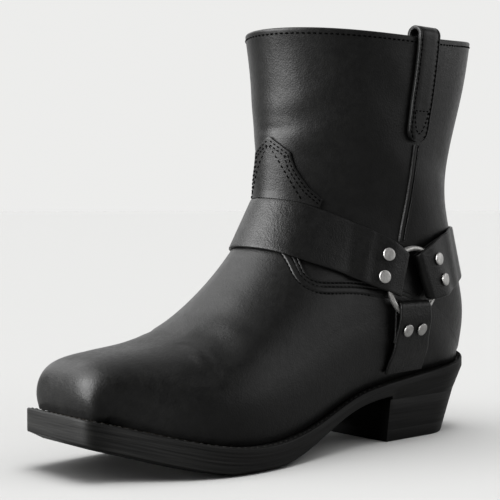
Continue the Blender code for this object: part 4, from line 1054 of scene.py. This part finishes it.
class PullLoop:
    """A strip from its tip up the shaft, over the collar and down inside."""

    def __init__(self, skin, side):
        self.skin, self.side = skin, side
        self.heights, self.angles, self.widths = np.array(PULL_LOOP).T
        self.tip_z, self.rim_z = self.heights[0], self.heights[-1]
        self.knots = np.linspace(self.tip_z - LOOP_NUDGE, self.rim_z, LOOP_KNOTS)
        self.frames = np.array([self.rest(z) for z in self.knots])

    def rest(self, z):
        """Place, normal, direction across the strip and direction up, on the shaft at a height."""
        angle = self.side * np.interp(z, self.heights, self.angles)
        place, normal = self.skin.leg(angle, z)
        above, _ = self.skin.leg(angle, z + LOOP_NUDGE)
        up = unit(above - place)
        return np.concatenate([place, normal, unit(np.cross(up, normal)) * self.side, up])

    def half_width(self, z):
        """Half the strip's width at heights, closing at its rounded tip."""
        tip = 1 - np.clip((z - self.tip_z) / LOOP_TIP, 0, 1)
        closing = (1 - tip**LOOP_TIP_SQUARE) ** (1 / LOOP_TIP_SQUARE)
        return np.interp(z, self.heights, self.widths) * closing

    def at(self, z, across, height):
        """Points and normals at heights, at shares across from -1 to 1 and away from the shaft."""
        given = (np.asarray(x, float) for x in (z, across, height))
        z, across, height = np.broadcast_arrays(*given)
        on_shaft = np.minimum(z, self.rim_z).ravel()
        values = spline(self.knots, self.frames, on_shaft).reshape(*z.shape, 4, 3)
        place, normal, aside, up = np.moveaxis(values, -2, 0)
        point = place + up * np.maximum(z - self.rim_z, 0)[..., None]
        point = point + unit(normal) * height[..., None]
        return point + unit(aside) * (across * self.half_width(z))[..., None], unit(normal)

    def build(self, name, materials, node):
        """The strip's solid, with rounded edges and a groove under each row of stitches."""
        rest = GAP + LOOP_THICKNESS / 2
        bend = LOOP_ARCH / 2
        arch_z = LOOP_TOP_Z - bend
        tip = self.tip_z + np.array(LOOP_TIP_STEPS)
        shaft = np.linspace(PULL_LOOP[1].z, arch_z, LOOP_STEPS)[:-1]
        path = [(z, rest) for z in np.concatenate([tip, shaft])]
        for turn in np.linspace(0, math.pi, ARCH_STEPS):
            path.append((arch_z + bend * math.sin(turn), rest - bend + bend * math.cos(turn)))
        path = np.array(path + LOOP_INSIDE)
        aside = left_of(path) * LOOP_THICKNESS / 2
        around, signed = band_profile(LOOP_SHARES, LOOP_HEIGHTS)
        z = np.maximum(path[:, :1] + aside[:, :1] * signed, self.tip_z + LOOP_TIP_START)
        sections, _ = self.at(z, 2 * around - 1, path[:, 1:] + aside[:, 1:] * signed)
        sweep(name, sections, materials, [node])

    def stitches(self, stitching):
        """Rows along both edges, a rounded shield near the tip and a bar across above it."""
        z = np.linspace(self.tip_z + LOOP_ROW_START, LOOP_TOP_Z - LOOP_ROW_END, LOOP_ROW_SAMPLES)
        lines = [(z, sign * (1 - LOOP_STITCH_IN / self.half_width(z))) for sign in (1, -1)]
        turn = np.linspace(0, math.pi, SHIELD_SAMPLES)
        drop = (LOOP_BAR_Z - self.tip_z - SHIELD_ABOVE_TIP) * np.sin(turn) ** SHIELD_CURVE
        across = SHIELD_HALF * np.sign(np.cos(turn)) * np.abs(np.cos(turn)) ** SHIELD_CURVE
        lines.append((LOOP_BAR_Z - drop, across))
        lines.append((LOOP_BAR_Z, np.linspace(-LOOP_BAR_HALF, LOOP_BAR_HALF, LOOP_BAR_SAMPLES)))
        for heights, across in lines:
            stitching.add(*self.at(heights, across, GAP + LOOP_THICKNESS), EDGE_THREAD)


def make_side_seam(name, skin, side, materials, node):
    """Two rounded ridges with a groove between them."""
    places = np.linspace(-RIDGE_REACH, RIDGE_REACH, RIDGE_SAMPLES)[:, None]
    away = np.abs(places)
    ridges = ease((away - GROOVE_HALF) / GROOVE_SLOPE) * ease((RIDGE_HALF - away) / RIDGE_SLOPE)
    heights, angles = np.array(SIDE_SEAM).T
    sections = []
    for z in np.linspace(heights[0], heights[-1], RIDGE_STEPS):
        angle = side * spline(-heights, angles, -z)[0, 0]
        place, normal = skin.leg(angle, z)
        lower, _ = skin.leg(angle, z - RIDGE_NUDGE)
        base = place + unit(np.cross(normal, place - lower)) * places + normal * GAP
        top = base + normal * (RIDGE_BASE + RIDGE_HEIGHT * ridges)
        sections.append(np.concatenate([top, base[-2:0:-1]]))
    sweep(name, sections, materials, [node])


def patch_z(level, angle):
    """Height of a point of the patch, whose rows close up towards the strap's sloping edge."""
    first, last = TONGUE_PATCH[0].z, TONGUE_PATCH[-1].z
    strap = [(row.top_angle, row.top_z) for row in INSTEP_STRAP[::-1]]
    foot = np.interp(abs(angle), *zip(*strap)) + PATCH_CLEAR
    return foot + (last - foot) * (level - first) / (last - first)


def make_tongue_patch(skin, materials):
    """The tongue's patch above the instep strap, with rounded edges."""
    heights, angles = np.array(TONGUE_PATCH).T
    peak_z = heights[-1]
    levels = np.union1d(np.linspace(heights[0], peak_z, PATCH_STEPS), heights)
    edge = np.array(PATCH_SHARES)
    shares = np.concatenate([edge, 1 - edge[-2::-1]])
    inner, outer = [], []
    for level in levels:
        half = np.interp(level, heights, angles)
        peak = np.interp(level, [peak_z - PATCH_PEAK_RUN, peak_z], [1.0, PATCH_PEAK_HEIGHT])
        for share, thick in zip(shares, PATCH_HEIGHTS + PATCH_HEIGHTS[-2::-1]):
            angle = PATCH_TURN + half * (2 * share - 1)
            place, normal = skin.leg(angle, patch_z(level, angle))
            inner.append(place + normal * STRAP_GAP)
            outer.append(place + normal * (STRAP_GAP + PATCH_THICKNESS * min(thick, peak)))
    rows, columns = len(levels), len(shares)
    size = rows * columns
    faces = grid_faces(rows, columns) + grid_faces(rows, columns, first=size)
    border = [(k + j, k + j + 1) for k in (0, size - columns) for j in range(columns - 1)]
    border += [(k, k + columns) for k in range(0, size - columns, columns)]
    border += [(k, k + columns) for k in range(columns - 1, size - columns, columns)]
    faces += [(a, b, size + b, size + a) for a, b in border]
    points = inner + outer
    add_piece("tongue_patch_leather", points, faces, materials, ["tongue_patch"])


# Stitching

class Stitching:
    """Stitches gathered into one mesh: short capsules, half sunk, along lines on the leather."""

    def __init__(self):
        self.stitches = []

    def add(self, points, normals, kind):
        """A row of stitches of one kind of thread along a line of points."""
        run = run_length(points)
        count = int(run[-1] / kind.pitch)
        if count < 1:
            return
        at = (np.arange(count) + 0.5) * run[-1] / count
        half = kind.length / 2
        middle, normal = read_line(points, run, at), unit(read_line(normals, run, at))
        along = unit(read_line(points, run, at + half) - read_line(points, run, at - half))
        side = unit(np.cross(along, normal))
        middle, normal, along, side = (x[:, None, None] for x in (middle, normal, along, side))
        reach, size = np.array(CAPSULE_RINGS).T[:, :, None, None]
        turn = turns_of(CAPSULE_CORNERS)[:, None]
        centre = middle + along * reach * half - normal * kind.radius * CAPSULE_SINK * reach**4
        out = side * np.cos(turn) + normal * np.sin(turn)
        self.stitches.append(centre + out * kind.radius * size)

    def build(self, name, materials):
        """One piece of all the stitches gathered so far."""
        stitches = np.concatenate(self.stitches)
        rings, corners = stitches.shape[1:3]
        size = rings * corners
        faces = []
        for first in range(0, len(stitches) * size, size):
            faces += grid_faces(rings, corners, first=first, wrap=True)
            faces.append(tuple(range(first, first + corners)))
            faces.append(tuple(range(first + size - corners, first + size)))
        add_piece(name, stitches, faces, materials)


def stitch_upper(stitching, face):
    """The row under the collar and the rows along the vamp's edge."""
    turns = np.linspace(*COLLAR_ROW)
    rim = collar_station(np.full_like(turns, COLLAR), turns)
    _, _, scale = face.frame(rim - COLLAR_SCALE_DOWN, turns)
    points, normals, _ = face.frame(rim - COLLAR_STITCH_DOWN / scale, turns)
    stitching.add(points, normals, FINE_THREAD)
    for row in VAMP_ROWS:
        turns = np.linspace(*row)
        edge, step = vamp_edge(turns)
        below = edge - np.linspace(*VAMP_SEARCH)[:, None]
        away = edge_distance(face, below, turns)
        lift = step * (VAMP_ROW_LIFT - VAMP_ROW_SINK * SEAM_DEPTH)
        for down in VAMP_STITCH_ROWS:
            stations = np.array([np.interp(down, *pair) for pair in zip(away.T, below.T)])
            points, normals, _ = face.frame(stations, turns)
            stitching.add(points + normals * lift[:, None], normals, EDGE_THREAD)


def stitch_patch(stitching, skin):
    """Two rows inside the patch's edge and the chevron below its peak."""
    outline = np.array([
        (math.radians(row.half_angle) * PATCH_RADIUS, patch_z(row.z, PATCH_TURN + row.half_angle))
        for row in TONGUE_PATCH[1:]
    ])
    run = run_length(outline)
    fine = read_line(outline, run, np.linspace(0, run[-1], PATCH_ROW_SAMPLES))
    lines = []
    for inward in PATCH_STITCH_ROWS:
        row = fine + left_of(fine) * inward
        row = row[row[:, 0] > PATCH_ROW_END]
        lines.append(([(math.degrees(x / PATCH_RADIUS), z) for x, z in row], EDGE_THREAD))
    lines.append((PATCH_CHEVRON, FINE_THREAD))
    for line, kind in lines:
        for sign in (1, -1):
            found = [skin.leg(PATCH_TURN + sign * angle, z) for angle, z in line]
            points, normals = (np.array(column) for column in zip(*found))
            stitching.add(points + normals * (STRAP_GAP + PATCH_THICKNESS), normals, kind)


def stitch_welt(stitching):
    """The row on the welt, from one side of the heel breast round the toe to the other."""
    plan, _ = on_welt(WELT_STITCH_IN)
    plan = plan[plan[:, 0] > HEEL_BREAST_U + WELT_ROW_START]
    points = np.column_stack([plan, sole_at(plan[:, 0])[:, 0] - WELT_ROW_SINK])
    normals = np.broadcast_to(np.array([0.0, 0.0, 1.0]), points.shape)
    stitching.add(points, normals, WELT_THREAD)


# Materials: darkest and lightest colours, and the part of a noise that they spread over

BLACK = (0.0008, 0.0008, 0.0008), (0.0028, 0.0028, 0.0027)
LINING = (0.016, 0.014, 0.012), (0.026, 0.023, 0.020)
BOARD = (0.020, 0.017, 0.014), (0.034, 0.029, 0.024)
INKED = (0.0008, 0.0008, 0.0008), (0.0066, 0.0066, 0.0064)
# Painted shade: the heel breast's colours, darker than the sole edge's, stand for the shade under
# the arch.
BREAST_PAINTED_SHADE = (0.0005, 0.0005, 0.0005), (0.0015, 0.0015, 0.0015)
WELT_THREAD_COLOUR = (0.006, 0.006, 0.0056)
FAC_RANGE = (0.3, 0.7)


class Finish:
    """A procedural material: one Principled shader with textures on its sockets."""

    def __init__(self, name, colour, roughness, shine=0.5, metallic=0.0):
        self.material = bpy.data.materials.new(name)
        self.material.use_nodes = True
        self.nodes, self.links = self.material.node_tree.nodes, self.material.node_tree.links
        self.shader = self.nodes["Principled BSDF"]
        self.shader.inputs["Base Color"].default_value = (*colour, 1.0)
        self.shader.inputs["Roughness"].default_value = roughness
        self.shader.inputs["Specular IOR Level"].default_value = shine
        self.shader.inputs["Metallic"].default_value = metallic
        self.last_bump = None

    def add(self, kind, **values):
        """A new node, with values on sockets whose names have no spaces."""
        node = self.nodes.new("ShaderNode" + kind)
        for socket, value in values.items():
            node.inputs[socket].default_value = value
        return node

    def noise(self, scale, detail=3.0, stretch=(1.0, 1.0, 1.0), source="Object", rough=0.55):
        """Noise over the object or its map of run and height, stretched along the axes."""
        place, spread = self.add("TexCoord"), self.add("Mapping", Scale=stretch)
        noise = self.add("TexNoise", Scale=scale, Detail=detail, Roughness=rough)
        self.links.new(place.outputs[source], spread.inputs["Vector"])
        self.links.new(spread.outputs["Vector"], noise.inputs["Vector"])
        return noise.outputs["Fac"]

    def cells(self, scale):
        """Distances from the middles of small cells."""
        place, cells = self.add("TexCoord"), self.add("TexVoronoi", Scale=scale)
        cells.feature = "F1"
        self.links.new(place.outputs["Object"], cells.inputs["Vector"])
        return cells.outputs["Distance"]

    def vary_roughness(self, fac, low, high):
        """Roughness between two values."""
        spread = self.add("MapRange")
        values = (*FAC_RANGE, low, high)
        for key, value in zip(("From Min", "From Max", "To Min", "To Max"), values):
            spread.inputs[key].default_value = value
        self.links.new(fac, spread.inputs["Value"])
        self.links.new(spread.outputs["Result"], self.shader.inputs["Roughness"])

    def tint(self, fac, dark, light):
        """Colour between two."""
        ramp = self.add("ValToRGB")
        for element, place, colour in zip(ramp.color_ramp.elements, FAC_RANGE, (dark, light)):
            element.position = place
            element.color = (*colour, 1.0)
        self.links.new(fac, ramp.inputs["Fac"])
        self.links.new(ramp.outputs["Color"], self.shader.inputs["Base Color"])

    def bump(self, fac, strength, distance):
        """Bumps on top of those laid before."""
        bump = self.add("Bump", Strength=strength, Distance=distance)
        self.links.new(fac, bump.inputs["Height"])
        if self.last_bump:
            self.links.new(self.last_bump, bump.inputs["Normal"])
        self.last_bump = bump.outputs["Normal"]
        self.links.new(self.last_bump, self.shader.inputs["Normal"])


def leather(name, dark, light, smooth, dull, grain):
    """Leather with soft unevenness, wrinkles and pores."""
    finish = Finish(name, dark, smooth, shine=0.09)
    finish.tint(finish.noise(140.0, detail=8.0, rough=0.85), dark, light)
    finish.vary_roughness(finish.noise(260.0, detail=6.0, rough=0.75), smooth, dull)
    finish.bump(finish.noise(85.0), strength=0.12 * grain, distance=0.0012)
    finish.bump(finish.noise(420.0, detail=5.0, rough=0.65), strength=0.13 * grain, distance=0.0006)
    finish.bump(finish.cells(1000.0), strength=0.2 * grain, distance=0.00022)
    return finish.material


def sole_edge(name, dark, light, shine, smooth, dull):
    """Trimmed and inked sole edge: streaks that run along it."""
    finish = Finish(name, dark, smooth, shine)
    streaks = finish.noise(1.0, detail=5.0, stretch=(16.0, 900.0, 1.0), source="UV", rough=0.65)
    worn = finish.noise(1.0, detail=4.0, stretch=(22.0, 420.0, 1.0), source="UV")
    finish.tint(streaks, dark, light)
    finish.vary_roughness(worn, smooth, dull)
    finish.bump(streaks, strength=0.35, distance=0.00035)
    finish.bump(finish.noise(900.0), strength=0.10, distance=0.0002)
    return finish.material


def nickel_plate():
    """Nickel with a slightly uneven shine."""
    finish = Finish("nickel_plate", (0.22, 0.217, 0.21), roughness=0.45, metallic=1.0)
    finish.tint(finish.noise(420.0, detail=4.0), (0.17, 0.168, 0.163), (0.26, 0.256, 0.25))
    finish.vary_roughness(finish.noise(700.0, detail=4.0), 0.40, 0.54)
    finish.bump(finish.noise(1500.0), strength=0.10, distance=0.0001)
    return finish.material


def thread(name, colour, shine):
    """Twisted thread."""
    finish = Finish(name, colour, roughness=0.55, shine=shine)
    twist = finish.noise(5200.0, detail=1.0, stretch=(1.0, 1.0, 2.4))
    finish.bump(twist, strength=0.5, distance=0.00015)
    finish.vary_roughness(finish.noise(1800.0, detail=2.0), 0.45, 0.7)
    return finish.material


# Stage

CAMERA_AT, CAMERA_AIM = (662.2, 589.3, 144.0), (161.4, -9.9, 117.8)
CAMERA_LENS, CAMERA_SENSOR = 94.2, 36.0
FLOOR_SIZE = 60.0
BACKDROP = (0.845, 0.845, 0.835)
FLOOR_COLOUR = (0.52, 0.52, 0.514)

# Soft lights at a distance, all as wide discs: six fall on the boot and three on the floor

SoftLight = namedtuple("SoftLight", "name towards strength angle_deg on_floor")
LIGHTS = named_rows(SoftLight, [
    ("key_low", (-0.16, -0.93, 0.34), 25, 56, False),
    ("key_high", (-0.39, -0.56, 0.73), 7.5, 56, False),
    ("back", (-0.77, 0.64, 0.25), 1.7, 96, False),
    ("left", (-0.85, -0.05, 0.52), 1, 40, False),
    ("top", (0, 0, 1), 1, 70, False),
    ("right", (0.64, 0.77, 0.15), 2.5, 60, False),
    ("overhead", (-0.03, -0.03, 1), 2.2, 46, True),
    ("floor_left", (-0.35, -0.40, 0.85), 1.3, 80, True),
    ("floor_right", (0.33, 0.40, 0.86), 1.6, 80, True),
])
SKY_GLOW = 0.14


def place_object(name, data):
    """A new object in the scene."""
    obj = bpy.data.objects.new(name, data)
    bpy.context.scene.collection.objects.link(obj)
    return obj


def make_camera():
    """The photo's view."""
    data = bpy.data.cameras.new("camera")
    data.lens, data.sensor_width = CAMERA_LENS, CAMERA_SENSOR
    camera = place_object("camera", data)
    place, aim = (Vector(world(point)[0]) for point in (CAMERA_AT, CAMERA_AIM))
    camera.location = place
    camera.rotation_euler = (aim - place).to_track_quat("-Z", "Y").to_euler()
    bpy.context.scene.camera = camera


def make_floor():
    """The pale floor, part of the stage."""
    mesh = bpy.data.meshes.new("floor")
    half = FLOOR_SIZE / 2
    corners = [(-half, -half, 0), (half, -half, 0), (half, half, 0), (-half, half, 0)]
    mesh.from_pydata(corners, [], [(0, 1, 2, 3)])
    mesh.materials.append(Finish("pale_floor", FLOOR_COLOUR, roughness=0.9, shine=0.1).material)
    floor = place_object("floor", mesh)
    return floor


def make_light(floor):
    """The soft lights, and a faint sky that the camera sees as a pale backdrop."""
    for row in LIGHTS:
        data = bpy.data.lights.new(row.name, "SUN")
        data.energy, data.angle = row.strength, math.radians(row.angle_deg)
        light = place_object(row.name, data)
        light.rotation_euler = Vector(row.towards).to_track_quat("Z", "Y").to_euler()
        group = bpy.data.collections.new(row.name + "_falls_on")
        group.objects.link(floor)
        state = "INCLUDE" if row.on_floor else "EXCLUDE"
        group.collection_objects[0].light_linking.link_state = state
        light.light_linking.receiver_collection = group
    sky = bpy.data.worlds.new("studio")
    sky.use_nodes = True
    nodes, links = sky.node_tree.nodes, sky.node_tree.links
    glow, seen = nodes["Background"], nodes.new("ShaderNodeBackground")
    mix, rays = nodes.new("ShaderNodeMixShader"), nodes.new("ShaderNodeLightPath")
    glow.inputs["Color"].default_value = (1.0, 1.0, 1.0, 1.0)
    glow.inputs["Strength"].default_value = SKY_GLOW
    seen.inputs["Color"].default_value = (*BACKDROP, 1.0)
    links.new(rays.outputs["Is Camera Ray"], mix.inputs["Fac"])
    links.new(glow.outputs["Background"], mix.inputs[1])
    links.new(seen.outputs["Background"], mix.inputs[2])
    links.new(mix.outputs["Shader"], nodes["World Output"].inputs["Surface"])
    bpy.context.scene.world = sky
    bpy.context.scene.view_settings.view_transform = "Standard"


def make_boot():
    """All pieces of the boot, with their finishes."""
    hide = [leather("black_leather_finish", *BLACK, 0.33, 0.47, grain=1.3)]
    strap_hide = [leather("strap_leather_finish", *BLACK, 0.33, 0.47, grain=2.2)]
    lining = [leather("lining_finish", *LINING, 0.62, 0.74, grain=1.2)]
    board = [leather("insole_finish", *BOARD, 0.66, 0.8, grain=1.4)]
    edge = [sole_edge("sole_edge_finish", *INKED, shine=0.05, smooth=0.45, dull=0.6)]
    # The heel breast's darker, duller finish is painted shade.
    breast = [sole_edge("heel_breast_painted_shade", *BREAST_PAINTED_SHADE, shine=0.02, smooth=0.6, dull=0.75)]
    face = UpperFace()
    skin = Skin(face)
    make_upper(face, skin, hide + lining)
    make_insole(board)
    make_welt(edge)
    make_outsole(edge)
    make_heel(edge + breast)
    make_tongue_patch(skin, hide)
    make_harness(skin, Skin(face, stepped=False), strap_hide, [nickel_plate()])
    seams, welt_row = Stitching(), Stitching()
    for side, word in SIDE_NAMES.items():
        loop = PullLoop(skin, side)
        loop.build(f"pull_loop_{word}_leather", hide, f"pull_loop_{word}")
        loop.stitches(seams)
        make_side_seam(f"side_seam_{word}_leather", skin, side, hide, f"side_seam_{word}")
    stitch_upper(seams, face)
    stitch_patch(seams, skin)
    stitch_welt(welt_row)
    # Black thread with its sheen taken away, so the stitches look as dark as the shade in their
    # holes: partly the thread's own colour, partly painted shade.
    seams.build("stitching", [thread("black_thread_and_painted_shade", BLACK[0], shine=0.0)])
    welt_row.build("welt_stitching", [thread("welt_thread", WELT_THREAD_COLOUR, shine=0.05)])


make_boot()
make_light(make_floor())
make_camera()
